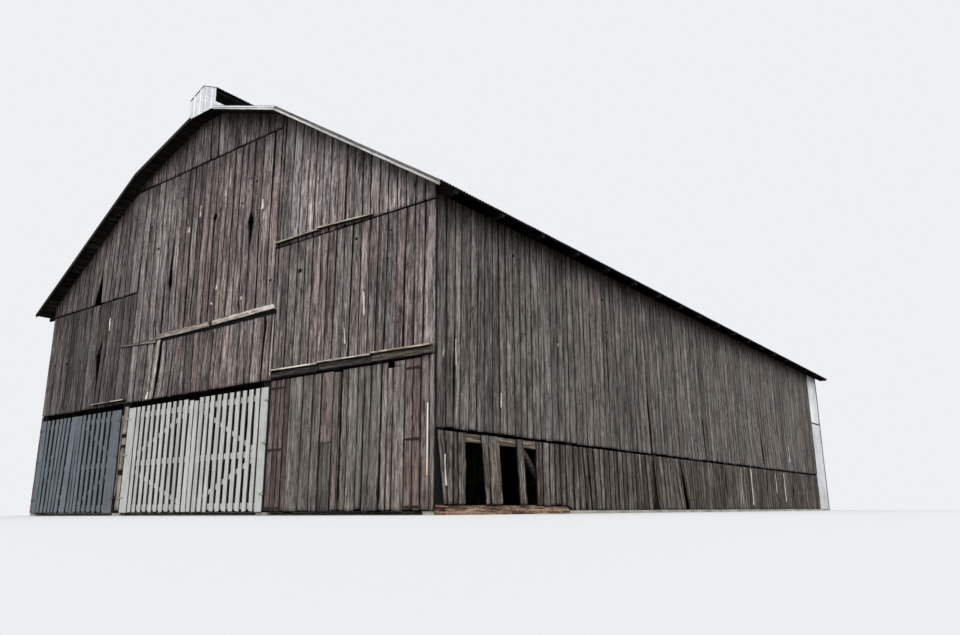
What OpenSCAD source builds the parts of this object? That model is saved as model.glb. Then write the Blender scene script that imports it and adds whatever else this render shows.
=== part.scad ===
// Gambrel-roofed plank barn with three pairs of doors in its front gable.
// X runs across the barn, Y along it with the front at -Y, Z up from the ground. Millimetres.

/* [Barn] */
// Width over the side wall boards
barn_w = 12200; // [11800:50:12600]
// Length over the gable wall boards
barn_l = 21950; // [20000:50:24000]
// Bays between the bents along the barn
bays = 6; // [5:1:7]
// Distance between the centres of the two rows of inner posts
aisle_w = 4640; // [4500:10:4760]
// Height of the lower edge of the boards over the doors
door_head = 2270; // [2240:10:2400]
// Height of the roof surface over the faces of the side walls
eave_z = 5010; // [4850:10:5200]
// How far the seam under the gable boards lies below that height
eave_drop = 330; // [300:10:400]
// How far the upper seam of the front gable lies below the break of the roof
peak_drop = 290; // [260:10:400]
// Height at which the upper side boards stop and the base boards begin
base_h = 1200; // [1180:10:1400]

/* [Roof] */
// How far the break lies outside the centre of the inner posts
break_out = 100; // [60:5:120]
// Pitch of the lower roof slopes in degrees
lower_pitch = 32.8; // [31:0.1:34]
// Pitch of the upper roof slopes in degrees
upper_pitch = 19.4; // [18:0.1:21]
// Overhang of the roof past the side walls
side_overhang = 360; // [250:10:450]
// Overhang of the roof past the gables
end_overhang = 320; // [250:10:450]
// Depth of the corrugated roof sheets
sheet_t = 20; // [16:1:25]
// Thickness of the roof boards under the sheets
deck_t = 25; // [19:1:32]
// Depth of the rafters
rafter_h = 150; // [125:5:200]
// Width of the rafters
rafter_w = 50; // [38:1:75]
// Rafters in each bay
rafters_per_bay = 3; // [2:1:4]
// Gap where two boards of the rake meet
rake_joint = 2; // [1:1:5]
// Clearance left where sloping pieces sit on others and where girts and ridge boards end
seat_play = 0.3; // [0.2:0.1:1]
// Thickness of the rake boards
rake_t = 25; // [19:1:32]
// Height of the rake boards
rake_h = 50; // [40:5:80]
// Height of the upright cut at the rafters' tails
tail_h = 60; // [40:5:90]

/* [Ridge ventilator] */
// Distance from the ridge line to the edge of the ventilator's roof
vent_edge = 470; // [440:5:600]
// How far the ventilator's roof edges lie above the roof beside it
vent_rise = 390; // [320:10:500]
// How far the ventilator's peak lies above its roof edges
vent_peak_rise = 210; // [180:10:300]
// Distance from the ridge line to the outer face of the ventilator's curbs
vent_curb_x = 410; // [380:5:425]
// Width of the ventilator's curbs, posts and rails
vent_stick = 50; // [38:1:75]
// Height of the curbs above the roof sheets
vent_curb_h = 100; // [60:5:120]
// Depth of the ventilator's top rails
vent_rail_h = 90; // [60:5:120]
// Ventilator posts in each bay
vent_posts_per_bay = 2; // [2:1:4]
// How far the end panels reach past the curbs
vent_panel_lap = 40; // [20:5:50]

/* [Frame] */
// Side of the square outer posts
outer_post = 200; // [150:5:220]
// Width of the inner posts across the barn
inner_post_w = 300; // [280:5:310]
// Depth of the inner posts along the barn
inner_post_d = 200; // [150:5:250]
// Height of the wall plates at their outer face
plate_h = 200; // [150:5:250]
// Width of the purlin plates under the roof break
purlin_w = 200; // [180:5:260]
// Height of the purlin plates under the roof break
purlin_h = 250; // [200:5:300]
// Height of the tie beams
tie_h = 200; // [150:5:250]
// Width of the tie beams
tie_w = 150; // [100:5:200]
// How far the middle ties lie under the tops of the inner posts
collar_drop = 50; // [0:5:150]
// Height of the wall girts
girt_h = 120; // [90:5:150]
// Thickness of the wall girts
girt_t = 50; // [38:1:75]
// Height of the lower edge of the lowest girts
girt_1_z = 1050; // [1000:10:1060]
// Height of the lower edge of the middle girts
girt_2_z = 2600; // [2400:10:2800]
// Height of the lower edge of the upper girts
girt_3_z = 3500; // [3300:10:3800]
// Height of the beams over the doors
header_h = 200; // [150:5:250]
// Width of the beams over the doors
header_w = 150; // [100:5:180]
// Thickness of the ridge board
ridge_t = 25; // [19:1:38]

/* [Walls and ground] */
// Thickness of the wall boards
board_t = 25; // [19:1:32]
// Thickness of the base boards
base_board_t = 20; // [16:1:24]
// How far the middle front boards stand proud of those beside them
middle_proud = 8; // [4:1:15]
// How far the middle front boards reach past the inner post centres
middle_lap = -10; // [-20:1:40]
// Height of the concrete footing
footing_h = 50; // [30:5:80]
// Width of the joints between the strips of the footing
footing_joint = 10; // [5:1:20]
// Width of the footing inside the outer post faces
footing_in = 25; // [0:5:60]
// Width of the footing outside the wall boards
footing_out = 15; // [0:5:40]
// Height of the rotten sill timber
sill_h = 140; // [110:5:160]
// How far the sill timber stands proud of the wall boards
sill_proud = 20; // [10:5:50]
// Depth of the sill timber under the wall
sill_w = 170; // [120:5:200]
// How far the sill timber starts behind the front boards
sill_start = 40; // [30:5:80]
// Length of the metal-clad end of the right wall
clad_l = 1190; // [1000:10:1400]
// Width of the fixed boards at the front right corner
right_corner_w = 259; // [240:1:280]
// Width of the fixed board at the front left corner
left_corner_w = 83; // [70:1:100]

/* [Missing boards of the right wall, from the front boards] */
// Start of the first board of the base at its head
base_start = 60; // [40:5:100]
// How far the first board's foot lies behind its head
first_lean = 150; // [100:5:200]
// Start of the first opening
hole_1 = 730; // [700:5:760]
// Width of the first opening at the top
hole_1_w = 380; // [300:5:400]
// Start of the second opening at the top
hole_2 = 1575; // [1520:5:1600]
// Width of the second opening at the top
hole_2_w = 470; // [400:5:500]
// Start of the third opening at the top
hole_3 = 2255; // [2230:5:2290]
// Width of the third opening at the top
hole_3_w = 395; // [330:5:400]
// How far the leaning boards' feet lie behind their heads
board_lean = 100; // [60:5:120]
// Start of the brace behind the third opening at its head
prop_start = 2140; // [2100:10:2200]
// How far that brace's foot lies behind its head
prop_run = 1030; // [900:10:1100]
// Width of that brace along the wall
prop_w = 120; // [100:5:140]

/* [Doors and gates] */
// Gap between the posts and the backs of the leaves
leaf_gap = 5; // [5:1:8]
// Thickness of the leaves' boards and slats
leaf_t = 25; // [19:1:28]
// Height of the leaves' lower edges
leaf_z = 60; // [55:5:90]
// Gap between the two leaves of a pair
meet_gap = 12; // [8:1:20]
// Gap over the plank doors
door_top_gap = 30; // [20:5:60]
// Gap over the slatted gates
gate_top_gap = 120; // [80:5:150]
// How far the plank doors meet to the right of the middle of their doorway
plank_shift = 44; // [0:1:80]
// How far the white gates meet to the right of the middle of their gateway
white_shift = 53; // [0:1:80]
// How far the blue gates meet to the right of the middle of their gateway
blue_shift = 7; // [0:1:40]
// Usual width of a board of the plank doors
door_board_w = 265; // [200:5:300]
// Gap between the boards of the plank doors
door_board_gap = 4; // [2:1:8]
// Thickness of the ledges and braces behind the plank doors
ledge_t = 40; // [25:1:45]
// Width of the ledges and braces behind the plank doors
ledge_w = 140; // [100:5:160]
// How far the lowest ledge lies above a plank door's foot
ledge_foot = 20; // [10:5:60]
// How far the upper ledge lies below a plank door's head
ledge_head = 100; // [80:5:120]
// Distance from the right plank door's hinge edge to the notch in its head
notch_in = 525; // [450:5:600]
// Width of that notch
notch_w = 130; // [100:5:160]
// Depth of that notch
notch_h = 90; // [60:5:95]
// Thickness of the rails and braces behind the gates
rail_t = 30; // [25:1:40]
// Width of the gates' rails
rail_w = 110; // [90:5:140]
// Width of the gates' braces
brace_w = 90; // [70:5:110]
// How far a gate's lowest rail lies above its foot
rail_foot = 40; // [20:5:80]
// How far a gate's upper rail lies below its head
rail_head = 110; // [80:5:150]
// Height of a gate's middle rail as a share of the leaf's height
rail_share = 0.46; // [0.4:0.01:0.55]
// Width of the white gate's slats
white_slat_w = 133; // [120:1:140]
// Usual gap between the white gate's slats
white_slat_gap = 50; // [35:1:60]
// Width of the white gate's left hinge stile
white_stile_left_w = 190; // [170:1:210]
// Width of the white gate's right hinge stile
white_stile_right_w = 250; // [240:1:270]
// Width of the white gate's meeting stiles
white_meet_w = 150; // [130:1:180]
// Width of the blue gate's slats
blue_slat_w = 120; // [100:1:135]
// Usual gap between the blue gate's slats
blue_slat_gap = 70; // [55:1:85]
// Width of the blue gate's hinge stiles
blue_stile_w = 290; // [260:1:310]
// Width of the blue gate's left meeting stile
blue_meet_left_w = 290; // [260:1:310]
// Width of the blue gate's right meeting stile
blue_meet_right_w = 170; // [150:1:200]
// Clearance between the rails behind a leaf and the post beside them
rail_clear = 20; // [12:1:40]

/* [Hinges] */
// Radius of the pintle pins
pin_r = 8; // [6:0.5:9]
// Radial play of a strap's eye on its pin
eye_play = 0.3; // [0.2:0.1:0.6]
// Wall of a strap's eye
eye_wall = 5.7; // [4.5:0.1:6]
// Gap between an eye and the shank it sits on
seat_gap = 0.3; // [0.2:0.1:0.6]
// Clearance between a strap's eye and the boards behind it
eye_clear = 5; // [5:1:8]
// Distance from a hinge line to the edge of its leaf
hinge_inset = 16; // [15:1:20]
// Thickness of the straps
strap_t = 5; // [4:0.5:6]
// Height of the straps
strap_h = 45; // [35:1:60]
// Length of the left plank door's straps
door_strap_l = 400; // [300:10:500]
// Length of the right plank door's straps
short_strap_l = 310; // [250:10:400]
// How much a strap narrows along each edge, as a share of its height
strap_taper = 0.15; // [0.05:0.01:0.25]
// Height of the plank doors' lowest straps
door_strap_1 = 90; // [80:5:120]
// Height of the plank doors' middle straps
door_strap_2 = 1040; // [900:10:1200]
// Height of the plank doors' upper straps
door_strap_3 = 2080; // [1950:10:2100]
// Height of the gates' lowest straps
gate_strap_1 = 330; // [250:10:400]
// Height of the gates' middle straps
gate_strap_2 = 1180; // [1000:10:1300]
// Height of the gates' upper straps
gate_strap_3 = 1910; // [1800:10:1930]
// Length of the gates' straps
gate_strap_l = 110; // [80:5:150]
// How far the pins stand above the eyes
pin_top = 10; // [5:1:20]
// How far a hinge line lies inside the edge of the post or board that carries it
pintle_inset = 9.5; // [9:0.5:12]
// Distance between the two hinge lines on the right inner post
pair_gap = 28; // [26:1:40]
// How far those two hinge lines lie outside the centre of the right inner post
pair_x = 60; // [40:1:80]

/* [Boards on the front] */
// Lengths in which the shelf over the plank doors is made
shelf_parts = 3; // [2:1:5]
// Gap between two lengths of that shelf
shelf_joint = 3; // [1:1:6]
// How far the cap of the shelf over the plank doors stands out
shelf_out = 90; // [60:5:150]
// Height of that shelf
shelf_h = 140; // [110:5:160]
// Thickness of its cap
shelf_cap = 25; // [19:1:38]
// Thickness of the board under its cap
shelf_back = 45; // [25:1:50]
// How far each length of the shelf sags to the right
shelf_sag = 18; // [0:1:25]
// Distance from the edge of the middle boards to the shelf
shelf_start = 120; // [40:5:160]
// How far the shelf stops short of the barn's corner
shelf_end = 40; // [20:5:100]
// Height of the lower edge of the first thick board nailed to the middle of the front
batten_z = 3487; // [3400:1:3700]
// How much higher the second thick board starts
batten_step = 8; // [0:1:25]
// How much higher the second thick board ends
batten_rise = 25; // [0:1:40]
// Height of those boards
batten_h = 115; // [100:5:150]
// Thickness of those boards
batten_t = 40; // [25:1:50]
// How far the lower edge of the wedge on their left ends below them
wedge_drop = 67; // [40:1:80]
// Height of that wedge at its thick end
wedge_h = 100; // [80:5:120]
// Height of that wedge at its thin end
wedge_tip = 25; // [15:1:40]
// Thickness of that wedge
wedge_t = 20; // [15:1:25]
// How far they reach past the middle boards on the left
batten_left = 500; // [400:10:600]
// How far they reach past the middle boards on the right
batten_right = 110; // [50:5:200]
// Joint of the wedge and the next board, as a share of the whole length
batten_joint_1 = 0.271; // [0.25:0.001:0.3]
// Joint of the two thick boards, as a share of the whole length
batten_joint_2 = 0.621; // [0.6:0.001:0.67]
// Gap at the joint of the two thick boards
batten_gap = 120; // [60:5:150]
// Gap at the joint of the wedge and the next board
wedge_gap = 13; // [5:1:30]
// Width of the board that slants down from them
slant_w = 130; // [60:5:160]
// Distance from the wedge's end to the head of the slanting board
slant_in = 65; // [40:5:120]
// How far the slanting board's foot lies to the left of its head
slant_run = 95; // [60:5:150]
// Thickness of the two strips of the ledge over the seam under the gable boards
eave_ledge_h = 28; // [19:1:38]
// How far that ledge lies above the seam
eave_ledge_up = 60; // [30:5:80]
// Length of its left strip
eave_ledge_l = 1120; // [1000:10:1200]
// Length of its right strip
eave_ledge_r = 1297; // [1200:1:1400]
// Gap between its two strips
eave_ledge_gap = 3; // [1:1:6]
// How much higher the right strip starts
eave_ledge_step = 32; // [0:1:40]
// How far the right strip falls to the right
eave_ledge_fall = 65; // [0:1:80]
// Height of the thin ledge at the left of the white gates
left_ledge_h = 20; // [15:1:30]
// How far that thin ledge lies above the head of the gates
left_ledge_up = 65; // [50:5:90]
// Length of that thin ledge
left_ledge_l = 1330; // [1200:10:1400]
// Distance from the edge of the middle boards to either ledge
ledge_start = 40; // [10:5:80]
// How far the ledges stand out
ledge_out = 80; // [50:5:120]
// Radius of the rod on the front right corner
rod_r = 10; // [8:1:14]
// Length of the rod on the front right corner
rod_l = 1020; // [900:10:1100]
// Height of the rod's lower end
rod_z = 540; // [400:10:600]
// Distance from the rod to the corner of the barn
rod_in = 120; // [80:5:160]

/* [Hidden] */
$fn = 48;

// Half sizes of the shell, and of the frame inside its boards
half_w = barn_w / 2;
half_l = barn_l / 2;
frame_x = half_w - board_t;
frame_y = half_l - board_t;

// Posts
inner_x = aisle_w / 2;
post_in = inner_x - inner_post_w / 2;
post_out = inner_x + inner_post_w / 2;
outer_in = frame_x - outer_post;
post_d = max(outer_post, inner_post_d);
bent_pitch = (2 * frame_y - post_d) / bays;
function bent_y(i) = -frame_y + post_d / 2 + i * bent_pitch;

// Depths below the roof surface, square to the slope
deck_d = sheet_t;
rafter_d = sheet_t + deck_t;
plate_d = rafter_d + rafter_h;

// The same, for the pieces that rafters and roof boards sit on
under_boards = rafter_d + seat_play;
under_rafters = plate_d + seat_play;

// Roof profile of the right half: heights at x and depth d, and the mitre line of the break
break_x = inner_x + break_out;
break_z = eave_z + (half_w - break_x) * tan(lower_pitch);
eave_seam = eave_z - eave_drop;
peak_seam = break_z - peak_drop;
tip_x = half_w + side_overhang;
rake_y = half_l + end_overhang;
function low_z(x, d) = break_z - (x - break_x) * tan(lower_pitch) - d / cos(lower_pitch);
function up_z(x, d) = break_z + (break_x - x) * tan(upper_pitch) - d / cos(upper_pitch);
mitre = (1 / cos(lower_pitch) - 1 / cos(upper_pitch)) / (tan(upper_pitch) - tan(lower_pitch));
function brk_x(d) = break_x + d * mitre;
function brk_z(d) = low_z(brk_x(d), d);
function low_x(z, d) = break_x + (break_z - d / cos(lower_pitch) - z) / tan(lower_pitch);

// The ventilator's roof, and its underside
vent_eave_z = up_z(vent_curb_x, 0) + vent_rise;
vent_peak_z = vent_eave_z + vent_peak_rise;
vent_slope = (vent_peak_z - vent_eave_z) / vent_edge;
function vent_z(x) = vent_peak_z - x * vent_slope - sheet_t * sqrt(1 + vent_slope * vent_slope);

// Frame heights
plate_bottom = low_z(frame_x, plate_d) - plate_h;
wall_top = low_z(half_w, plate_d);
purlin_bottom = brk_z(plate_d) - purlin_h;
middle_x = inner_x + middle_lap;

// Leaves, from the front faces of the posts
leaf_back = -frame_y - leaf_gap;
leaf_front = leaf_back - leaf_t;
eye_r = pin_r + eye_play + eye_wall;
hinge_y = leaf_front - eye_r;
door_top = door_head - door_top_gap;
gate_top = door_head - gate_top_gap;

// Lines of the hinges, from the left
blue_left_x = -(half_w - left_corner_w + pintle_inset);
blue_right_x = -(post_out - pintle_inset);
white_left_x = -(post_in + pintle_inset);
white_right_x = inner_x + pair_x - pair_gap / 2;
plank_left_x = inner_x + pair_x + pair_gap / 2;
plank_right_x = half_w - right_corner_w + pintle_inset;

// Meeting lines of the three pairs
blue_meet = (blue_left_x + blue_right_x) / 2 + blue_shift;
white_meet = (white_left_x + white_right_x) / 2 + white_shift;
plank_meet = (plank_left_x + plank_right_x) / 2 + plank_shift;

// Heights of the straps' lower edges
door_strap_z = [door_strap_1, door_strap_2, door_strap_3];
gate_strap_z = [gate_strap_1, gate_strap_2, gate_strap_3];

// An outline in X and Z, from y0 to y1
module across(y0, y1) {
    translate([0, y1, 0]) rotate([90, 0, 0]) linear_extrude(y1 - y0) children();
}

// An outline in Y and Z, from x0 to x1
module along(x0, x1) {
    translate([x0, 0, 0]) rotate([90, 0, 90]) linear_extrude(x1 - x0) children();
}

// A block between two corners
module block(a, b) {
    translate(a) cube(b - a);
}

module both_sides() {
    children();
    mirror([1, 0, 0]) children();
}

// Outline of a layer of the lower slope between two depths
module lower_layer(d0, d1) {
    polygon([[brk_x(d0), brk_z(d0)], [tip_x, low_z(tip_x, d0)],
        [tip_x, low_z(tip_x, d1)], [brk_x(d1), brk_z(d1)]]);
}

// Outline of a layer of the upper slope between two depths, from x_in
module upper_layer(d0, d1, x_in) {
    polygon([[x_in, up_z(x_in, d0)], [brk_x(d0), brk_z(d0)],
        [brk_x(d1), brk_z(d1)], [x_in, up_z(x_in, d1)]]);
}

module footing() {
    strip_in = outer_in - footing_in;
    strip_out = half_w + footing_out;
    rear_in = bent_y(bays) - post_d / 2 - footing_in;
    side_end = rear_in - footing_joint;
    color("lightgray") {
        block([-strip_out, -frame_y, 0], [-strip_in, side_end, footing_h]);
        block([strip_in, bent_y(1) - outer_post / 2, 0], [strip_out, side_end, footing_h]);
        block([-strip_out, rear_in, 0], [strip_out, half_l + footing_out, footing_h]);
        block([outer_in, bent_y(0) - outer_post / 2, 0],
            [frame_x, bent_y(0) + outer_post / 2, footing_h]);
        both_sides() {
            for (i = [0:bays - 1])
                block([post_in, bent_y(i) - inner_post_d / 2, 0],
                    [post_out, bent_y(i) + inner_post_d / 2, footing_h]);
        }
    }
}

module sill_timber() {
    post_rear = bent_y(0) + outer_post / 2;
    color("rosybrown") {
        block([half_w + sill_proud - sill_w, post_rear, 0],
            [half_w + sill_proud, bent_y(1) - outer_post / 2, sill_h]);
        block([frame_x, -half_l + sill_start, 0], [half_w + sill_proud, post_rear, sill_h]);
    }
}

module outer_posts() {
    color("dimgray") both_sides() for (i = [0:bays])
        block([outer_in, bent_y(i) - outer_post / 2, footing_h],
            [frame_x, bent_y(i) + outer_post / 2, plate_bottom]);
}

module inner_posts() {
    color("dimgray") both_sides() for (i = [0:bays])
        block([post_in, bent_y(i) - inner_post_d / 2, footing_h],
            [post_out, bent_y(i) + inner_post_d / 2, purlin_bottom]);
}

module wall_plates() {
    color("gray") both_sides() across(-frame_y, frame_y)
        polygon([[outer_in, plate_bottom], [frame_x, plate_bottom],
            [frame_x, low_z(frame_x, under_rafters)], [outer_in, low_z(outer_in, under_rafters)]]);
}

// The plates under the roof break, and the ridge board between the rafters' heads
module roof_purlins() {
    x0 = inner_x - purlin_w / 2;
    x1 = inner_x + purlin_w / 2;
    color("gray") {
        both_sides() across(-frame_y, frame_y)
            polygon([[x0, purlin_bottom], [x1, purlin_bottom], [x1, low_z(x1, under_rafters)],
                [brk_x(under_rafters), brk_z(under_rafters)], [x0, up_z(x0, under_rafters)]]);
        block([-ridge_t / 2, -frame_y, up_z(ridge_t / 2, plate_d)],
            [ridge_t / 2, frame_y, up_z(ridge_t / 2, rafter_d)]);
    }
}

module tie_beams() {
    color("gray") for (i = [0:bays]) {
        y0 = bent_y(i) - tie_w / 2;
        y1 = bent_y(i) + tie_w / 2;
        both_sides() block([post_out, y0, plate_bottom - tie_h], [outer_in, y1, plate_bottom]);
        block([-post_in, y0, purlin_bottom - collar_drop - tie_h],
            [post_in, y1, purlin_bottom - collar_drop]);
    }
}

module wall_girts() {
    rows = [girt_1_z, girt_2_z, girt_3_z];
    rear_in = frame_y - girt_t;
    from_post = outer_post / 2 + seat_play;
    color("tan") {
        both_sides() for (i = [0:bays - 1], z = rows)
            block([frame_x - girt_t, bent_y(i) + from_post, z],
                [frame_x, bent_y(i + 1) - from_post, z + girt_h]);
        for (z = rows) {
            both_sides() block([post_out, rear_in, z], [outer_in, frame_y, z + girt_h]);
            block([-post_in, rear_in, z], [post_in, frame_y, z + girt_h]);
        }
        both_sides() block([post_out, -frame_y, girt_3_z],
            [outer_in, -frame_y + girt_t, girt_3_z + girt_h]);
        block([-post_in, -frame_y, girt_3_z], [post_in, -frame_y + girt_t, girt_3_z + girt_h]);
        wall_prop();
    }
}

// The brace behind the missing boards, from the lowest girt down to the sill
module wall_prop() {
    foot = prop_start + prop_run;
    inner = frame_x - girt_t;
    along(inner - girt_t, inner) translate([-half_l, 0])
        polygon([[foot, sill_h], [foot + prop_w, sill_h], [prop_start + prop_w, girt_1_z + girt_h],
            [prop_start, girt_1_z + girt_h]]);
}

module header_beams() {
    color("gray") {
        both_sides() block([post_out, -frame_y, door_head],
            [outer_in, -frame_y + header_w, door_head + header_h]);
        block([-post_in, -frame_y, door_head], [post_in, -frame_y + header_w, door_head + header_h]);
    }
}

// Positions of the rafters along the barn
rafter_n = bays * rafters_per_bay;
rafter_pitch = (2 * frame_y - rafter_w) / rafter_n;
function rafter_y(i) = -frame_y + i * rafter_pitch;

// Outline of a lower rafter, whose tail ends in an upright cut and a level one
module lower_rafter_outline() {
    tail_z = low_z(tip_x, rafter_d) - tail_h;
    polygon([[brk_x(rafter_d), brk_z(rafter_d)], [tip_x, low_z(tip_x, rafter_d)], [tip_x, tail_z],
        [low_x(tail_z, plate_d), tail_z], [brk_x(plate_d), brk_z(plate_d)]]);
}

module lower_rafters() {
    color("dimgray") both_sides() for (i = [0:rafter_n])
        across(rafter_y(i), rafter_y(i) + rafter_w) lower_rafter_outline();
}

module upper_rafters() {
    color("dimgray") both_sides() for (i = [0:rafter_n])
        across(rafter_y(i), rafter_y(i) + rafter_w) upper_layer(rafter_d, plate_d, ridge_t / 2);
}

module front_wall_left() {
    color("#6b5f5b") block([-half_w, -half_l, door_head], [-middle_x, -frame_y, eave_seam]);
}

module front_wall_middle() {
    color("#6f625d") block([-middle_x, -half_l - middle_proud, door_head],
        [middle_x, -frame_y, peak_seam]);
}

module front_wall_right() {
    color("#6b5f5b") block([middle_x, -half_l, door_head], [half_w, -frame_y, eave_seam]);
}

// Outline of the gable boards beside the middle boards, on the right
module gable_side_outline() {
    polygon([[middle_x, eave_seam], [half_w, eave_seam], [half_w, low_z(half_w, under_boards)],
        [low_x(peak_seam, under_boards), peak_seam], [middle_x, peak_seam]]);
}

module front_gable_right() {
    color("#6b5f5b") across(-half_l, -frame_y) gable_side_outline();
}

module front_gable_left() {
    color("#6b5f5b") mirror([1, 0, 0]) across(-half_l, -frame_y) gable_side_outline();
}

// Outline of the gable's top under the roof boards, over the points of its right foot
module gable_outline(foot) {
    right = concat(foot, [[brk_x(under_boards), brk_z(under_boards)]]);
    left = [for (i = [len(right) - 1:-1:0]) [-right[i][0], right[i][1]]];
    polygon(concat(right, [[0, up_z(0, under_boards)]], left));
}

module front_gable_peak() {
    color("#6b5f5b") across(-half_l, -frame_y)
        gable_outline([[low_x(peak_seam, under_boards), peak_seam]]);
}

module corner_boards() {
    color("#6b5f5b") {
        block([half_w - right_corner_w, -half_l, footing_h], [half_w, -frame_y, door_head]);
        block([-half_w, -half_l, footing_h], [-half_w + left_corner_w, -frame_y, door_head]);
    }
}

clad_y = frame_y - clad_l + board_t;

module side_wall_right() {
    color("#5b5652") block([frame_x, -frame_y, base_h], [half_w, clad_y, wall_top]);
}

// A base board or group of boards, from its y at the top and at the foot
module base_panel(head_0, head_1, foot_0, foot_1) {
    along(frame_x, frame_x + base_board_t) translate([-half_l, 0])
        polygon([[foot_0, sill_h], [foot_1, sill_h], [head_1, base_h], [head_0, base_h]]);
}

module side_wall_right_base() {
    sill_end = bent_y(1) - outer_post / 2;
    hole_3_end = hole_3 + hole_3_w;
    color("#66615d") {
        base_panel(base_start, hole_1, base_start + first_lean, hole_1);
        base_panel(hole_1 + hole_1_w, hole_2, hole_1 + hole_1_w + board_lean, hole_2 + board_lean);
        base_panel(hole_2 + hole_2_w, hole_3, hole_2 + hole_2_w + board_lean, hole_3 + board_lean);
        along(frame_x, frame_x + base_board_t)
            polygon([[hole_3_end - half_l, base_h], [hole_3_end - half_l, sill_h], [sill_end, sill_h],
                [sill_end, footing_h], [clad_y, footing_h], [clad_y, base_h]]);
    }
}

module side_wall_right_end() {
    color("gainsboro") block([frame_x, clad_y, footing_h], [half_w, frame_y, wall_top]);
}

module side_wall_left() {
    color("#5b5652") {
        block([-half_w, -frame_y, base_h], [-frame_x, frame_y, wall_top]);
        block([-frame_x - base_board_t, -frame_y, footing_h], [-frame_x, frame_y, base_h]);
    }
}

module rear_wall() {
    color("#5b5652") block([-half_w, frame_y, footing_h], [half_w, half_l, eave_seam]);
}

module rear_gable() {
    color("#5b5652") across(frame_y, half_l)
        gable_outline([[half_w, eave_seam], [half_w, low_z(half_w, under_boards)]]);
}

module roof_boards_lower() {
    color("saddlebrown") both_sides() across(-rake_y, rake_y) lower_layer(deck_d, rafter_d);
}

module roof_boards_upper() {
    color("saddlebrown") both_sides() across(-rake_y, rake_y)
        upper_layer(deck_d, rafter_d, vent_curb_x);
}

module roof_sheets_lower() {
    color("silver") both_sides() across(-rake_y, rake_y) lower_layer(0, deck_d);
}

module roof_sheets_upper() {
    color("silver") both_sides() across(-rake_y, rake_y) upper_layer(0, deck_d, vent_curb_x);
}

// Rake boards of one end, in two lengths from the ventilator to the eaves on each side
module rake_pair() {
    rake_d = rafter_d + rake_h;
    head = brk_x(under_boards) + rake_joint / 2;
    foot = brk_x(rake_d) + rake_joint / 2;
    polygon([[head, low_z(head, under_boards)], [tip_x, low_z(tip_x, under_boards)],
        [tip_x, low_z(tip_x, rake_d)], [foot, low_z(foot, rake_d)]]);
    polygon([[vent_curb_x, up_z(vent_curb_x, under_boards)],
        [head - rake_joint, up_z(head - rake_joint, under_boards)],
        [foot - rake_joint, up_z(foot - rake_joint, rake_d)],
        [vent_curb_x, up_z(vent_curb_x, rake_d)]]);
}

module rake_boards() {
    color("darkgray") both_sides() {
        across(-rake_y, -rake_y + rake_t) rake_pair();
        across(rake_y - rake_t, rake_y) rake_pair();
    }
}

vent_end_y = rake_y - sheet_t;

// Curbs, posts and top rails, and the boards that close the ridge in front of the gables
module ventilator_frame() {
    x0 = vent_curb_x - vent_stick;
    x1 = vent_curb_x;
    curb_top = up_z(x1, 0) + vent_curb_h;
    rail_bottom = vent_z(x1) - vent_rail_h;
    n = bays * vent_posts_per_bay;
    pitch = (2 * vent_end_y - vent_stick) / n;
    cover_x = x0 - seat_play;
    cover_l = vent_end_y - half_l - seat_play;
    cover_z = up_z(x0, rafter_d);
    color("gray") for (y0 = [-vent_end_y, half_l + seat_play])
        block([-cover_x, y0, cover_z], [cover_x, y0 + cover_l, cover_z + deck_t]);
    color("gray") both_sides() {
        across(-vent_end_y, vent_end_y)
            polygon([[x0, up_z(x0, rafter_d)], [x1, up_z(x1, rafter_d)], [x1, curb_top],
                [x0, curb_top]]);
        across(-vent_end_y, vent_end_y)
            polygon([[x0, rail_bottom], [x1, rail_bottom], [x1, vent_z(x1)], [x0, vent_z(x0)]]);
        for (i = [0:n])
            block([x0, -vent_end_y + i * pitch, curb_top],
                [x1, -vent_end_y + i * pitch + vent_stick, rail_bottom]);
    }
}

module ventilator_panels() {
    edge = vent_curb_x + vent_panel_lap;
    right = [[edge, vent_z(edge)], [edge, up_z(edge, -seat_play)],
        [vent_curb_x, up_z(vent_curb_x, -seat_play)], [vent_curb_x, up_z(vent_curb_x, rafter_d)]];
    left = [for (i = [len(right) - 1:-1:0]) [-right[i][0], right[i][1]]];
    color("gainsboro") for (y = [-rake_y, vent_end_y])
        across(y, y + sheet_t) polygon(concat([[0, vent_z(0)]], right, left));
}

module ventilator_roof() {
    tip_top = vent_eave_z;
    tip_low = vent_z(vent_edge);
    color("silver") across(-rake_y, rake_y)
        polygon([[0, vent_peak_z], [vent_edge, tip_top], [vent_edge, tip_low], [0, vent_z(0)],
            [-vent_edge, tip_low], [-vent_edge, tip_top]]);
}

// The shelf over the plank doors: sagging lengths of a cap on an upright board
module header_shelf() {
    x0 = middle_x + shelf_start;
    step = (half_w - shelf_end + shelf_joint - x0) / shelf_parts;
    part_l = step - shelf_joint;
    cap_z = door_head + shelf_h - shelf_cap;
    color("burlywood") for (i = [0:shelf_parts - 1]) translate([x0 + i * step, 0]) {
        across(-half_l - shelf_out, -half_l) strip(part_l, cap_z, shelf_cap, -shelf_sag);
        across(-half_l - shelf_back, -half_l)
            strip(part_l, door_head, shelf_h - shelf_cap, -shelf_sag);
    }
}

// Outline of a strip whose right end lies higher than its left end by rise, with z the lower
module strip(length, z, h, rise) {
    left_z = z + max(0, -rise);
    right_z = z + max(0, rise);
    polygon([[0, left_z], [length, right_z], [length, right_z + h], [0, left_z + h]]);
}

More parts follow.
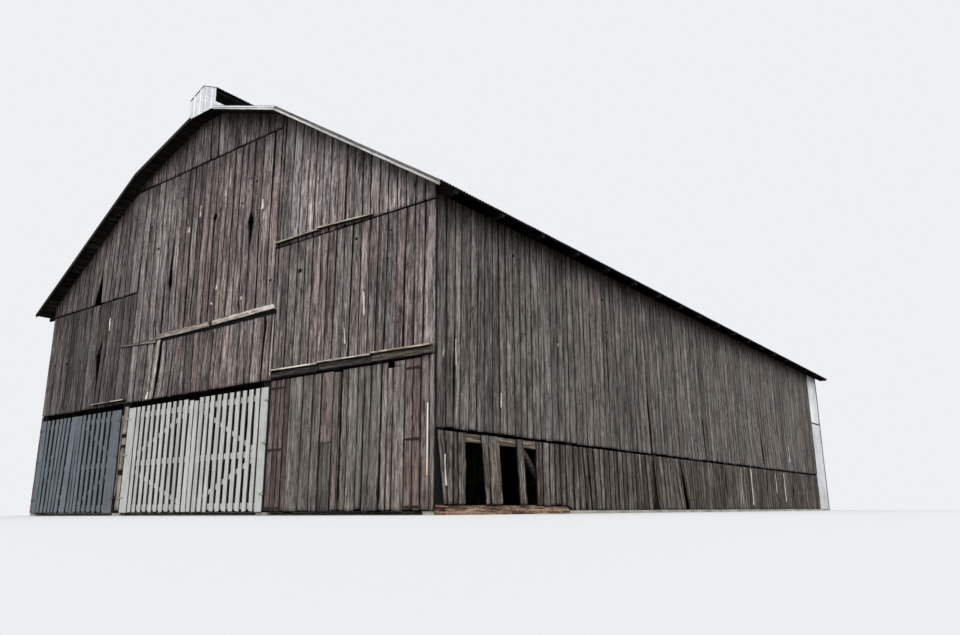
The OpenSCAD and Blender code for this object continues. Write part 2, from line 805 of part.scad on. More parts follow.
// Boards nailed flat on the middle of the front, and the thin ledges beside it
module shelf_boards() {
    face = -half_l - middle_proud;
    x0 = -middle_x - batten_left;
    span = 2 * middle_x + batten_left + batten_right;
    joint_1 = x0 + span * batten_joint_1;
    joint_2 = x0 + span * batten_joint_2;
    wedge_z = batten_z - wedge_drop;
    slant_head = joint_1 + slant_in;
    slant_foot = slant_head - slant_run;
    ledge_x = middle_x + ledge_start;
    thick_2 = joint_2 + batten_gap;
    eave_ledge_z = eave_seam + eave_ledge_up;
    right_ledge_z = eave_ledge_z + eave_ledge_step - eave_ledge_fall;
    left_ledge_z = door_head + left_ledge_up;
    color("tan") {
        across(face - wedge_t, face)
            polygon([[x0, wedge_z + wedge_h], [joint_1, wedge_z], [joint_1, wedge_z + wedge_h],
                [x0, wedge_z + wedge_h + wedge_tip]]);
        block([joint_1 + wedge_gap, face - batten_t, batten_z], [joint_2, face, batten_z + batten_h]);
        across(face - batten_t, face) translate([thick_2, 0])
            strip(x0 + span - thick_2, batten_z + batten_step, batten_h, batten_rise);
        across(face - wedge_t, face)
            polygon([[slant_foot, door_head], [slant_foot + slant_w, door_head],
                [slant_head + slant_w, batten_z], [slant_head, batten_z]]);
        across(-half_l - ledge_out, -half_l) translate([ledge_x, 0]) {
            strip(eave_ledge_l, eave_ledge_z, eave_ledge_h, 0);
            translate([eave_ledge_l + eave_ledge_gap, 0])
                strip(eave_ledge_r, right_ledge_z, eave_ledge_h, -eave_ledge_fall);
        }
        block([-ledge_x - left_ledge_l, -half_l - ledge_out, left_ledge_z],
            [-ledge_x, -half_l, left_ledge_z + left_ledge_h]);
    }
}

module corner_rod() {
    color("orange") translate([half_w - rod_in, -half_l - rod_r, rod_z])
        cylinder(r = rod_r, h = rod_l);
}

// A pin with the shank that carries it, which reaches back to y = back
module pintle(x, z, back) {
    shank_z = z - seat_gap - pin_r;
    pin_h = 2 * pin_r + seat_gap + strap_h + pin_top;
    translate([x, hinge_y, shank_z - pin_r]) cylinder(r = pin_r, h = pin_h);
    translate([x, back, shank_z]) rotate([90, 0, 0]) cylinder(r = pin_r, h = back - hinge_y);
}

module door_pintles() {
    color("#3a3330") {
        for (z = door_strap_z) {
            pintle(plank_left_x, z, -frame_y);
            pintle(plank_right_x, z, -half_l);
        }
        for (z = gate_strap_z) {
            pintle(white_left_x, z, -frame_y);
            pintle(white_right_x, z, -frame_y);
            pintle(blue_right_x, z, -frame_y);
            pintle(blue_left_x, z, -half_l);
        }
    }
}

// A tapered strap with its eye; dir is 1 where the leaf lies on the +X side of its hinge line
module strap(x, z, length, dir) {
    reach = dir * (hinge_inset + length);
    shoulder = reach - dir * strap_h;
    narrow = strap_h * strap_taper;
    translate([x, hinge_y, z]) difference() {
        union() {
            cylinder(r = eye_r, h = strap_h);
            across(eye_r - strap_t, eye_r)
                polygon([[0, 0], [shoulder, narrow], [reach, strap_h / 2],
                    [shoulder, strap_h - narrow], [0, strap_h]]);
        }
        translate([0, 0, -1]) cylinder(r = pin_r + eye_play, h = strap_h + 2);
    }
}

module strap_set(x, heights, length, dir) {
    color("#4a4442") for (z = heights) strap(x, z, length, dir);
}

module plank_door_left_straps() {
    strap_set(plank_left_x, door_strap_z, door_strap_l, 1);
}

module plank_door_right_straps() {
    strap_set(plank_right_x, door_strap_z, short_strap_l, -1);
}

module white_gate_left_straps() {
    strap_set(white_left_x, gate_strap_z, gate_strap_l, 1);
}

module white_gate_right_straps() {
    strap_set(white_right_x, gate_strap_z, gate_strap_l, -1);
}

module blue_gate_left_straps() {
    strap_set(blue_left_x, gate_strap_z, gate_strap_l, 1);
}

module blue_gate_right_straps() {
    strap_set(blue_right_x, gate_strap_z, gate_strap_l, -1);
}

// A flat bar in the plane of the wall, from p to q in X and Z
module bar(p, q, w) {
    d = q - p;
    translate(p) rotate(atan2(d[1], d[0])) translate([0, -w / 2]) square([norm(d), w]);
}

// A plank door from x0 to x1, with its ledges and brace between in_0 and in_1
module plank_door(x0, x1, in_0, in_1, hinge_left) {
    boards = round((x1 - x0) / door_board_w);
    w = (x1 - x0 - (boards - 1) * door_board_gap) / boards;
    low = leaf_z + ledge_foot;
    high = door_top - ledge_head - ledge_w;
    mid = (low + high) / 2;
    foot_x = hinge_left ? in_0 + ledge_w : in_1 - ledge_w;
    head_x = hinge_left ? in_1 - ledge_w : in_0 + ledge_w;
    mid_x = (in_0 + in_1) / 2;
    across(leaf_front, leaf_back) for (i = [0:boards - 1])
        translate([x0 + i * (w + door_board_gap), leaf_z]) square([w, door_top - leaf_z]);
    across(leaf_back, leaf_back + ledge_t) {
        for (z = [low, mid, high]) translate([in_0, z]) square([in_1 - in_0, ledge_w]);
        bar([foot_x, low + ledge_w / 2], [mid_x, mid + ledge_w / 2], ledge_w);
        bar([mid_x, mid + ledge_w / 2], [head_x, high + ledge_w / 2], ledge_w);
    }
}

module plank_door_left() {
    x0 = plank_left_x + hinge_inset;
    x1 = plank_meet - meet_gap / 2;
    color("#6d635e") plank_door(x0, x1, post_out + rail_clear, x1, true);
}

module plank_door_right() {
    x0 = plank_meet + meet_gap / 2;
    x1 = plank_right_x - hinge_inset;
    color("#6d635e") difference() {
        plank_door(x0, x1, x0, min(x1, outer_in) - rail_clear, false);
        across(leaf_front - leaf_t, leaf_back + leaf_t)
            translate([x1 - notch_in - notch_w, door_top - notch_h])
                square([notch_w, 2 * notch_h]);
    }
}

// A slatted gate from x0 to x1: upright slats between two stiles, on three rails, with two
// braces that run from the hinge side's middle to the free corners. s0 and s1 are the widths
// of the left and right stiles, and in_0 to in_1 is the reach of the rails behind the slats.
module slat_gate(x0, x1, s0, s1, slat_w, usual_gap, in_0, in_1, hinge_left) {
    inner = x1 - x0 - s0 - s1;
    slats = round((inner - usual_gap) / (slat_w + usual_gap));
    gap = (inner - slats * slat_w) / (slats + 1);
    height = gate_top - leaf_z;
    low = leaf_z + rail_foot;
    mid = leaf_z + height * rail_share - rail_w / 2;
    high = gate_top - rail_head - rail_w;
    hinge_x = hinge_left ? in_0 + brace_w / 2 : in_1 - brace_w / 2;
    free_x = hinge_left ? in_1 - brace_w / 2 : in_0 + brace_w / 2;
    across(leaf_front, leaf_back) {
        translate([x0, leaf_z]) square([s0, height]);
        translate([x1 - s1, leaf_z]) square([s1, height]);
        for (i = [0:slats - 1])
            translate([x0 + s0 + gap + i * (slat_w + gap), leaf_z]) square([slat_w, height]);
    }
    across(leaf_back, leaf_back + rail_t) {
        for (z = [low, mid, high]) translate([in_0, z]) square([in_1 - in_0, rail_w]);
        bar([hinge_x, mid + rail_w], [free_x, high + rail_w / 2], brace_w);
        bar([hinge_x, mid], [free_x, low + rail_w / 2], brace_w);
    }
}

module white_gate_left() {
    x0 = white_left_x + hinge_inset;
    x1 = white_meet - meet_gap / 2;
    color("#b9b8b0") slat_gate(x0, x1, white_stile_left_w, white_meet_w, white_slat_w,
        white_slat_gap, -post_in + rail_clear, x1, true);
}

module white_gate_right() {
    x0 = white_meet + meet_gap / 2;
    x1 = white_right_x - hinge_inset;
    color("#b9b8b0") slat_gate(x0, x1, white_meet_w, white_stile_right_w, white_slat_w,
        white_slat_gap, x0, post_in - rail_clear, false);
}

module blue_gate_left() {
    x0 = blue_left_x + hinge_inset;
    x1 = blue_meet - meet_gap / 2;
    color("#7b828a") slat_gate(x0, x1, blue_stile_w, blue_meet_left_w, blue_slat_w,
        blue_slat_gap, -outer_in + rail_clear, x1, true);
}

module blue_gate_right() {
    x0 = blue_meet + meet_gap / 2;
    x1 = blue_right_x - hinge_inset;
    color("#7b828a") slat_gate(x0, x1, blue_meet_right_w, blue_stile_w, blue_slat_w,
        blue_slat_gap, x0, -post_out - rail_clear, false);
}

footing();
sill_timber();
outer_posts();
inner_posts();
wall_plates();
roof_purlins();
tie_beams();
wall_girts();
header_beams();
lower_rafters();
upper_rafters();
front_wall_left();
front_wall_middle();
front_wall_right();
front_gable_left();
front_gable_right();
front_gable_peak();
corner_boards();
side_wall_right();
side_wall_right_base();
side_wall_right_end();
side_wall_left();
rear_wall();
rear_gable();
roof_boards_lower();
roof_boards_upper();
roof_sheets_lower();
roof_sheets_upper();
rake_boards();
ventilator_frame();
ventilator_panels();
ventilator_roof();
header_shelf();
shelf_boards();
corner_rod();
door_pintles();
plank_door_left();
plank_door_left_straps();
plank_door_right();
plank_door_right_straps();
white_gate_left();
white_gate_left_straps();
white_gate_right();
white_gate_right_straps();
blue_gate_left();
blue_gate_left_straps();
blue_gate_right();
blue_gate_right_straps();
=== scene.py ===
"""Looks of the plank barn: boards, sheets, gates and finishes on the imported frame, in metres."""
import math
import random

import bpy
from mathutils import Matrix, Vector


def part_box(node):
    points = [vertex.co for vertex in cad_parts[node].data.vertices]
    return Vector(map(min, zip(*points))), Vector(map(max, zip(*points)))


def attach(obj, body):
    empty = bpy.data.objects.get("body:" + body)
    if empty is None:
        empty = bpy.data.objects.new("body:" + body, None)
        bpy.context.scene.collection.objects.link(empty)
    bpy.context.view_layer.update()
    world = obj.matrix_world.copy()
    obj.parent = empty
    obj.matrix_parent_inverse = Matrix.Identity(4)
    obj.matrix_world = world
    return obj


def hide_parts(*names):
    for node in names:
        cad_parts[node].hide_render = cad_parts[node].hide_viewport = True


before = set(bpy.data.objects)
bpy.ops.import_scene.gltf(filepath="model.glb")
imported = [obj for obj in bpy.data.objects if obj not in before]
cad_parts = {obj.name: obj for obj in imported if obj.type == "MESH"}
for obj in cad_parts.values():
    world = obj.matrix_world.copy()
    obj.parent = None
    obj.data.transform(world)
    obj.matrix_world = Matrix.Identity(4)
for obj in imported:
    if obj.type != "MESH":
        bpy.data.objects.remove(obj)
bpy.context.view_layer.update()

# The shell: its faces, those of its frame, and the tips of its roof
HALF_W = 6.1
HALF_L = 10.975
FRAME_X = 6.075
FRAME_Y = 10.95
RAKE_Y = 11.295
TIP_X = 6.46

# The roof's profile, the depths of its layers under its surface, and the lengths of its slopes
LOWER = math.radians(32.8)
UPPER = math.radians(19.4)
BREAK_X = 2.42
BREAK_Z = 5.01 + (HALF_W - BREAK_X) * math.tan(LOWER)
SHEET_D = 0.02
DECK_D = 0.045
RAFTER_D = 0.195
CURB_X = 0.41
LOWER_RUN = (TIP_X - BREAK_X) / math.cos(LOWER)
UPPER_RUN = (BREAK_X - CURB_X) / math.cos(UPPER)
STEEL_D = 0.0012
SHEET_STEP = 0.6105
SHEET_LAP = 0.03

# Heights of the walls' seams and edges, the edge of the front's middle, the start of the metal end
# of the right wall, and the head of the plank doors
HEAD_Z = 2.27
EAVE_SEAM = 4.68
PEAK_SEAM = BREAK_Z - 0.29
BASE_Z = 1.2
FOOTING_Z = 0.05
SILL_Z = 0.14
MIDDLE_X = 2.31
METAL_Y = HALF_L - 1.19
DOOR_HEAD = 2.238

# Planes that face the front: the proud middle of the wall, the leaves behind their boards, behind
# their rails and ledges, and the face of their straps
MIDDLE_Y = -HALF_L - 0.008
LEAF_Y = -10.955
RAIL_Y = -10.925
LEDGE_Y = -10.915
STRAP_Y = -10.985

# What lies on a face starts this far off it
CLEAR = 0.0005

# Planes to build on, each an origin and the directions across, along the grain and out
X = Vector((1, 0, 0))
Y = Vector((0, 1, 0))
Z = Vector((0, 0, 1))
FRONT = (Y * -FRAME_Y, X, Z, -Y)
REAR = (Y * FRAME_Y, -X, Z, Y)
RIGHT = (X * FRAME_X, Y, Z, X)
LEFT = (X * -FRAME_X, -Y, Z, -X)


def facing(y):
    """A plane at y that faces the front."""
    return Y * y, X, Z, -Y


def lying(axes):
    """The same plane for pieces that lie across."""
    return axes[0], axes[2], axes[1], axes[3]


def moved(axes, u, v):
    """The same plane from another origin in it."""
    origin, across, along, out = axes
    return origin + across * u + along * v, across, along, out


def low_z(x, depth):
    """Height of a layer of the lower roof slope."""
    return BREAK_Z - (abs(x) - BREAK_X) * math.tan(LOWER) - depth / math.cos(LOWER)


def up_z(x, depth):
    """Height of a layer of the upper roof slope."""
    return BREAK_Z + (BREAK_X - abs(x)) * math.tan(UPPER) - depth / math.cos(UPPER)


def roof_z(x, depth=DECK_D + 0.004):
    """Height of a layer of the roof at x, by default just under its boards."""
    return min(low_z(x, depth), up_z(x, depth))


EAVE_Z = low_z(HALF_W, RAFTER_D) - 0.004


def put(name, data):
    """Adds an object to the scene."""
    item = bpy.data.objects.new(name, data)
    bpy.context.collection.objects.link(item)
    return item


def rgb(red, green, blue):
    """A screen colour from 0 to 255 as linear values."""
    shares = [value / 255 for value in (red, green, blue)]
    return (*(s / 12.92 if s <= 0.04045 else ((s + 0.055) / 1.055) ** 2.4 for s in shares), 1.0)


# Materials


class Shader:
    """Builds one material or world from linked nodes."""

    def __init__(self, name, kind=bpy.data.materials):
        self.owner = kind.new(name)
        self.owner.use_nodes = True
        self.tree = self.owner.node_tree
        self.surface = self.tree.nodes.get("Principled BSDF")

    def add(self, kind, inputs=None, **settings):
        """Adds a node, sets it up and links or fills its inputs."""
        node = self.tree.nodes.new("ShaderNode" + kind)
        for key, value in settings.items():
            setattr(node, key, value)
        self.feed(node, inputs or {})
        return node

    def feed(self, node, inputs):
        """Links or fills a node's inputs."""
        for key, value in inputs.items():
            if isinstance(value, bpy.types.NodeSocket):
                self.tree.links.new(value, node.inputs[key])
            else:
                node.inputs[key].default_value = value

    def place(self):
        """Coordinates of the object."""
        return self.add("TexCoord").outputs["Object"]

    def attribute(self, name):
        """The vector of a mesh attribute."""
        return self.add("Attribute", attribute_name=name).outputs["Vector"]

    def split(self, vector):
        """The three parts of a vector."""
        return self.add("SeparateXYZ", {"Vector": vector}).outputs[:3]

    def scaled(self, vector, scale):
        """A vector or colour scaled on each axis."""
        node = self.add("VectorMath", {0: vector, 1: scale}, operation="MULTIPLY")
        return node.outputs["Vector"]

    def dimmed(self, colour, shade):
        """A colour times a value."""
        node = self.add("VectorMath", {0: colour, "Scale": shade}, operation="SCALE")
        return node.outputs["Vector"]

    def maths(self, operation, *values, clamp=False):
        """One step of arithmetic."""
        node = self.add("Math", dict(enumerate(values)), operation=operation, use_clamp=clamp)
        return node.outputs["Value"]

    def times(self, first, second):
        """A product."""
        return self.maths("MULTIPLY", first, second)

    def plus(self, first, second):
        """A sum."""
        return self.maths("ADD", first, second)

    def minus(self, first, second):
        """A difference."""
        return self.maths("SUBTRACT", first, second)

    def mean(self, *parts):
        """The sum of values, each given as a weight and a value."""
        total = None
        for weight, value in parts:
            share = self.times(value, weight)
            total = share if total is None else self.plus(total, share)
        return total

    def noise(self, vector, scale, detail=3.0, rough=0.55):
        """Noise from 0 to 1 on coordinates scaled on each axis."""
        node = self.add("TexNoise", {"Vector": self.scaled(vector, scale), "Scale": 1.0,
                                     "Detail": detail, "Roughness": rough})
        return node.outputs["Fac"]

    def grained(self, grain, *parts):
        """A weighted mean of noises, each given as a weight, a scale, detail and roughness."""
        return self.mean(*[(weight, self.noise(grain, *rest)) for weight, *rest in parts])

    def band(self, value, low, high):
        """Maps low to 0 and high to 1, held between them."""
        return self.add("MapRange", {"Value": value, "From Min": low, "From Max": high}).outputs[0]

    def between(self, value, low, high):
        """Maps 0 to low and 1 to high."""
        return self.add("MapRange", {"Value": value, "To Min": low, "To Max": high}).outputs[0]

    def fade(self, value, low, high, depth):
        """Rises to 1 as a value goes from low to high, from a depth below 1."""
        return self.maths("MULTIPLY_ADD", self.band(value, low, high), depth, 1.0 - depth)

    def ramp(self, value, *stops):
        """Screen colours along a value."""
        node = self.add("ValToRGB", {"Fac": value})
        ends = node.color_ramp.elements
        for index, (place, colour) in enumerate(stops):
            stop = ends[index] if index < 2 else ends.new(place)
            stop.position = place
            stop.color = rgb(*colour)
        return node.outputs["Color"]

    def mix(self, share, first, second):
        """A mix of two colours."""
        return self.add("Mix", {0: share, 6: first, 7: second}, data_type="RGBA").outputs[2]

    def tint(self, share, colour, scale):
        """A colour that goes towards itself scaled on each channel."""
        return self.mix(share, colour, self.scaled(colour, scale))

    def done(self, colour, roughness, height, distance, strength, metallic=0.0):
        """Feeds the surface, with a bump of a height, and gives the material."""
        bump = self.add("Bump", {"Height": height, "Distance": distance, "Strength": strength})
        self.feed(self.surface, {"Base Color": colour, "Roughness": roughness, "Metallic": metallic,
                                 "Normal": bump.outputs["Normal"]})
        return self.owner


def stored(shader):
    """Grain coordinates, tone, and distances to the edges and ends, stored with each board."""
    return (shader.attribute("grain"), shader.split(shader.attribute("tone")),
            shader.split(shader.attribute("edge")))


def timber(shader, axis):
    """Grain coordinates along an axis, and a tone for each timber, on a node of the frame."""
    x, y, z = shader.split(shader.place())
    island = shader.add("NewGeometry").outputs["Random Per Island"]
    u, v, w = {"X": (y, z, x), "Y": (x, z, y), "Z": (x, y, z)}[axis]
    parts = {"X": u, "Y": shader.plus(v, shader.times(island, 37.0)), "Z": w}
    grain = shader.add("CombineXYZ", parts).outputs["Vector"]
    return grain, (island, shader.maths("FRACT", shader.times(island, 7.31)), 0.3)


def wood(name, dark, middle, light, axis=None, warm=(1.07, 0.97, 0.93), cool=(0.95, 1.0, 0.98),
         reach=0.076, flecks=0.0, cracks=0.021, painted_head_shade=0.0, fresh=None):
    """Weathered wood: streaks and cracks along the grain, knots, a tone for each board, and edges and side
    faces darkened as painted shade in the joints.

    With an axis it is for timber of the frame, else for boards. The head shade darkens the heads of boards
    as painted shade under the roof.
    fresh is how much paler timber is that shows in the holes of the right wall, below 1.3 m.
    """
    shader = Shader(name)
    if axis:
        grain, (bright, hue, wear) = timber(shader, axis)
    else:
        grain, (bright, hue, wear), (side, foot, head) = stored(shader)
    mixed = shader.grained(
        grain, (0.12, (6.0, 6.0, 0.5), 2.0, 0.5), (0.40, (30.0, 30.0, 1.5), 4.0, 0.72),
        (0.10, (3.0, 3.0, 1.5), 4.0, 0.65), (0.18, (34.0, 34.0, 8.0), 3.0, 0.7),
        (0.20, (110.0, 110.0, 4.0), 3.0, 0.7))
    colour = shader.ramp(mixed, (0.5 - reach, dark), (0.5 + reach, light), (0.5, middle))
    colour = shader.tint(hue, colour, warm)
    colour = shader.tint(wear, colour, cool)
    shade = shader.between(bright, 0.42, 1.62)
    if not axis:
        # Painted shade: the edges and side faces of boards darken for the shade in the joints.
        nibble = shader.times(shader.noise(grain, (26.0, 26.0, 8.0), 3.0), 0.012)
        for part in (shader.fade(shader.minus(side, nibble), -0.004, 0.003, 0.9),
                     shader.fade(side, 0.0, 0.035, 0.3), shader.fade(foot, 0.004, 0.05, 0.5),
                     # Painted shade under the roof: the heads of boards darken.
                     shader.fade(head, 0.0, 0.6, painted_head_shade)):
            shade = shader.times(shade, part)
    elif fresh:
        height = shader.split(shader.place())[2]
        colour = shader.tint(shader.band(height, 1.34, 1.3), colour, fresh)
        colour = shader.tint(shader.band(height, 1.1, 0.75), colour, (0.3, 0.38, 0.47))
    colour = shader.dimmed(colour, shade)
    split_line = shader.noise(grain, (34.0, 34.0, 0.6), 2.0, 0.5)
    offset = shader.maths("ABSOLUTE", shader.minus(split_line, 0.53))
    crack = shader.band(offset, cracks, cracks * 0.4)
    cells = shader.scaled(shader.scaled(grain, (1.0, 0.2, 1.0)), (4.2, 4.2, 1.7))
    knots = shader.add("TexVoronoi", {"Vector": cells, "Scale": 1.0}).outputs["Distance"]
    check = shader.band(shader.noise(grain, (24.0, 24.0, 4.0), 3.0, 0.7), 0.6, 0.635)
    holes = shader.maths("MAXIMUM", crack, shader.band(knots, 0.08, 0.05))
    holes = shader.maths("MAXIMUM", holes, shader.times(check, 0.8))
    colour = shader.tint(shader.times(holes, 0.85), colour, (0.16,) * 3)
    if flecks:
        bare = shader.noise(grain, (24.0, 24.0, 3.0), 3.0, 0.65)
        share = shader.times(shader.band(bare, 0.74 - flecks, 0.77 - flecks), 0.8)
        colour = shader.mix(share, colour, rgb(176, 166, 156))
    shader.surface.inputs["Specular IOR Level"].default_value = 0.2
    return shader.done(colour, 0.9, shader.minus(mixed, shader.times(holes, 0.6)), 0.012, 0.7)


def paint(name, coat, worn, wood_colour, wear_level):
    """Weathered paint over wood: streaky, chalky, and worn to the wood in patches."""
    shader = Shader(name)
    grain, (bright, _, wear), (side, _, _) = stored(shader)
    mixed = shader.grained(
        grain, (0.45, (40.0, 40.0, 1.6), 4.0, 0.6), (0.25, (4.0, 4.0, 1.3), 3.0, 0.6),
        (0.3, (24.0, 24.0, 7.0), 3.0, 0.65))
    colour = shader.ramp(mixed, (0.4, worn), (0.58, coat))
    # The dark side faces of the slats are partly bare unpainted wood and partly painted shade in the gaps.
    rim = shader.fade(side, 0.0005, 0.005, 0.92)
    colour = shader.dimmed(colour, shader.times(shader.between(bright, 0.8, 1.14), rim))
    patch = shader.noise(grain, (22.0, 22.0, 2.4), 4.0, 0.65)
    patch = shader.plus(patch, shader.times(wear, 0.12))
    bare = shader.times(shader.band(patch, wear_level, wear_level + 0.05), rim)
    colour = shader.mix(bare, colour, rgb(*wood_colour))
    return shader.done(colour, 0.72, shader.minus(mixed, shader.times(bare, 0.3)), 0.006, 0.7)


def metal(name, light, dull, rust_level, roughness, metallic):
    """Galvanised sheet: spangle, white bloom, streaks down the slope and a little rust."""
    shader = Shader(name)
    grain, (bright, _, _), _ = stored(shader)
    cells = shader.add("TexVoronoi", {"Vector": grain, "Scale": 38.0})
    bloom = shader.noise(grain, (2.2, 2.2, 1.2), 5.0, 0.65)
    mixed = shader.mean((0.5, bloom), (0.35, shader.noise(grain, (16.0, 16.0, 0.5), 3.0, 0.6)),
                        (0.15, shader.split(cells.outputs["Color"])[0]))
    colour = shader.ramp(mixed, (0.36, dull), (0.6, light))
    colour = shader.dimmed(colour, shader.between(bright, 0.86, 1.08))
    rust = shader.band(shader.noise(grain, (5.0, 5.0, 1.1), 6.0, 0.7), rust_level, rust_level + 0.07)
    colour = shader.mix(shader.times(rust, 0.8), colour, rgb(126, 82, 58))
    rough = shader.plus(shader.times(bloom, 0.25), roughness - 0.1)
    rough = shader.maths("ADD", rough, shader.times(rust, 0.4), clamp=True)
    clean = shader.times(shader.band(rust, 1.0, 0.0), metallic)
    dents = shader.noise(grain, (6.0, 6.0, 3.0), 2.0)
    return shader.done(colour, rough, dents, 0.004, 0.4, clean)


def iron(name, dark, middle, light):
    """Wrought iron under rust or old paint."""
    shader = Shader(name)
    place = shader.place()
    patches = shader.noise(place, (34.0,) * 3, 5.0, 0.65)
    colour = shader.ramp(patches, (0.38, dark), (0.66, light), (0.52, middle))
    return shader.done(colour, 0.85, shader.noise(place, (260.0,) * 3, 3.0, 0.6), 0.0015, 0.7, 0.25)


def concrete(name):
    """Rough cast concrete, cloudy and flecked with dark grit."""
    shader = Shader(name)
    place = shader.place()
    cloudy = shader.noise(place, (1.8, 1.8, 9.0), 5.0, 0.6)
    grit = shader.noise(place, (90.0,) * 3, 3.0, 0.6)
    colour = shader.ramp(cloudy, (0.35, (128, 122, 110)), (0.65, (190, 186, 174)))
    dots = shader.times(shader.band(grit, 0.62, 0.7), 0.4)
    return shader.done(shader.mix(dots, colour, rgb(92, 88, 80)), 0.92, grit, 0.003, 0.7)


def rod_paint(name):
    """Paint that goes from white at the top to orange at the foot."""
    shader = Shader(name)
    place = shader.place()
    wobble = shader.noise(place, (30.0, 30.0, 12.0), 3.0)
    height = shader.plus(shader.split(place)[2], shader.times(wobble, 0.12))
    colour = shader.ramp(shader.band(height, 0.5, 1.7), (0.0, (218, 156, 108)),
                         (0.42, (240, 234, 227)), (0.16, (232, 204, 176)))
    return shader.done(colour, 0.5, wobble, 0.001, 0.5)


# Meshes


class Pile:
    """Boards and sheets gathered into one mesh, each with its own grain and tone.

    lip keeps the edges of the faces as bright as their middles, over sides that stay dark, and darkens the
    backs and undersides as painted shade.
    """

    def __init__(self, seed, lip=0.0):
        self.dice = random.Random(seed)
        self.lip = lip
        self.verts = []
        self.faces = []
        self.broad = []
        self.layers = {"grain": [], "tone": [], "edge": []}

    def slab(self, axes, upper, lower=None, tone=(0.5, 0.5, 0.5), marks=None):
        """Adds a closed slab under a grid of (across, along, out) points.

        lower is the grid below it, or how far out a flat back lies. Without it the slab is sheet
        steel. marks holds, for each point, its place across the grain and its distances to the
        nearest side edge, the foot and the head.
        """
        origin, across, along, out = axes
        if not isinstance(lower, list):
            lower = [[(u, v, n - STEEL_D if lower is None else lower) for u, v, n in row]
                     for row in upper]
        rows = len(upper)
        columns = len(upper[0])
        start = len(self.verts)
        shift = [self.dice.uniform(0, 12) for _ in range(3)]
        # lip brightens the face's edges and darkens the back as painted shade.
        for grid, lip in ((upper, self.lip), (lower, -5 * self.lip)):
            for r, row in enumerate(grid):
                for c, (u, v, n) in enumerate(row):
                    self.verts.append(origin + across * u + along * v + out * n)
                    place, side, foot, head = marks[r][c] if marks else (u, 1.0, 1.0, 1.0)
                    self.layers["grain"] += (place + shift[0], n + shift[1], v + shift[2])
                    self.layers["edge"] += (side + lip, foot + lip, head)
                    self.layers["tone"] += tone
        second = rows * columns
        faces = []
        for r in range(rows - 1):
            for c in range(columns - 1):
                a = start + r * columns + c
                quad = (a, a + 1, a + columns + 1, a + columns)
                faces += [quad, [second + i for i in reversed(quad)]]
        self.broad += [True] * len(faces)
        loop = [*range(columns), *range(2 * columns - 1, second, columns),
                *range(second - 2, second - columns - 1, -1),
                *range(second - 2 * columns, 0, -columns)]
        self.broad += [False] * len(loop)
        for a, b in zip(loop, loop[1:] + loop[:1]):
            faces.append([start + i for i in (b, a, second + a, second + b)])
        inward = across.cross(along).dot(out) < 0
        self.faces += [face[::-1] if inward else face for face in faces]

    def tone(self, spread=0.2, bright=0.5):
        """A random brightness about a mean, warmth and coolness for one board."""
        value = min(1.0, max(0.0, self.dice.gauss(bright, spread)))
        return value, self.dice.random() ** 2, self.dice.random() ** 2

    def board(self, axes, foot, head, depth, rows=5, wander=0.002, bevel=0.003, tone=None,
              twist=0.002, sides=None, stops=()):
        """Adds a board between its foot and head, each (left, right) points of (across, along).

        sides gives the left and right edges as seams with a direction, and stops the heights at
        which they bend.
        """
        back, front = depth
        tone = tone or self.tone()
        base = (foot[0][1] + foot[1][1]) / 2
        length = (head[0][1] + head[1][1]) / 2 - base
        places = {r / rows for r in range(rows + 1)}
        places |= {(stop - base) / length for stop in stops if 0.02 < (stop - base) / length < 0.98}
        upper = []
        marks = []
        for t in sorted(places):
            left, right = [[a * (1 - t) + b * t for a, b in zip(*ends)] for ends in zip(foot, head)]
            if sides:
                left[0] = sides[0].edge(left[1], 1)
                right[0] = max(sides[1].edge(right[1], -1), left[0] + 0.004)
            left[0] += self.dice.gauss(0, wander)
            right[0] += self.dice.gauss(0, wander)
            width = right[0] - left[0]
            share = min(0.3, bevel / max(width, 0.001))
            tilt = self.dice.gauss(0, twist)
            cup = self.dice.gauss(0, twist) * 0.5
            upper.append([])
            marks.append([])
            for s, drop in ((0, bevel), (share, 0), (0.5, -cup), (1 - share, 0), (1, bevel)):
                upper[-1].append((left[0] + width * s, left[1] * (1 - s) + right[1] * s,
                                  front - drop + tilt * (s - 0.5) * 2))
                marks[-1].append((width * s, width * min(s, 1 - s), length * t, length * (1 - t)))
        self.slab(axes, upper, back, tone, marks)

    def plank(self, axes, u, v, depth, **options):
        """Adds a rectangular board between two places across and two along."""
        self.board(axes, ((u[0], v[0]), (u[1], v[0])), ((u[0], v[1]), (u[1], v[1])), depth, **options)

    def make(self, name, material, nodes=(), body="barn", smooth=False):
        """Makes the object, which rides on a body and stands for CAD nodes."""
        mesh = bpy.data.meshes.new(name)
        mesh.from_pydata(self.verts, [], self.faces)
        for key, values in self.layers.items():
            layer = mesh.attributes.new(key, "FLOAT_VECTOR", "POINT")
            layer.data.foreach_set("vector", values)
        mesh.polygons.foreach_set("use_smooth", [smooth and broad for broad in self.broad])
        mesh.materials.append(material)
        mesh.update()
        piece = put(name, mesh)
        if nodes:
            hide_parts(*nodes)
        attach(piece, body)


def dome(pile, axes, centre, radii, steps, rings, back, tone):
    """Adds a low round head; a ring is its share of the radii and how far out it lies."""
    grid = []
    for share, out in rings:
        turns = [2 * math.pi * k / steps for k in range(steps + 1)]
        grid.append([(centre[0] + radii[0] * share * math.cos(turn),
                      centre[1] + radii[1] * share * math.sin(turn), out) for turn in turns])
    pile.slab(axes, grid, back, tone)


def at(line, place):
    """The height of a level line, given as a number, or of a height line at a place."""
    return line(place) if callable(line) else line


# Joints


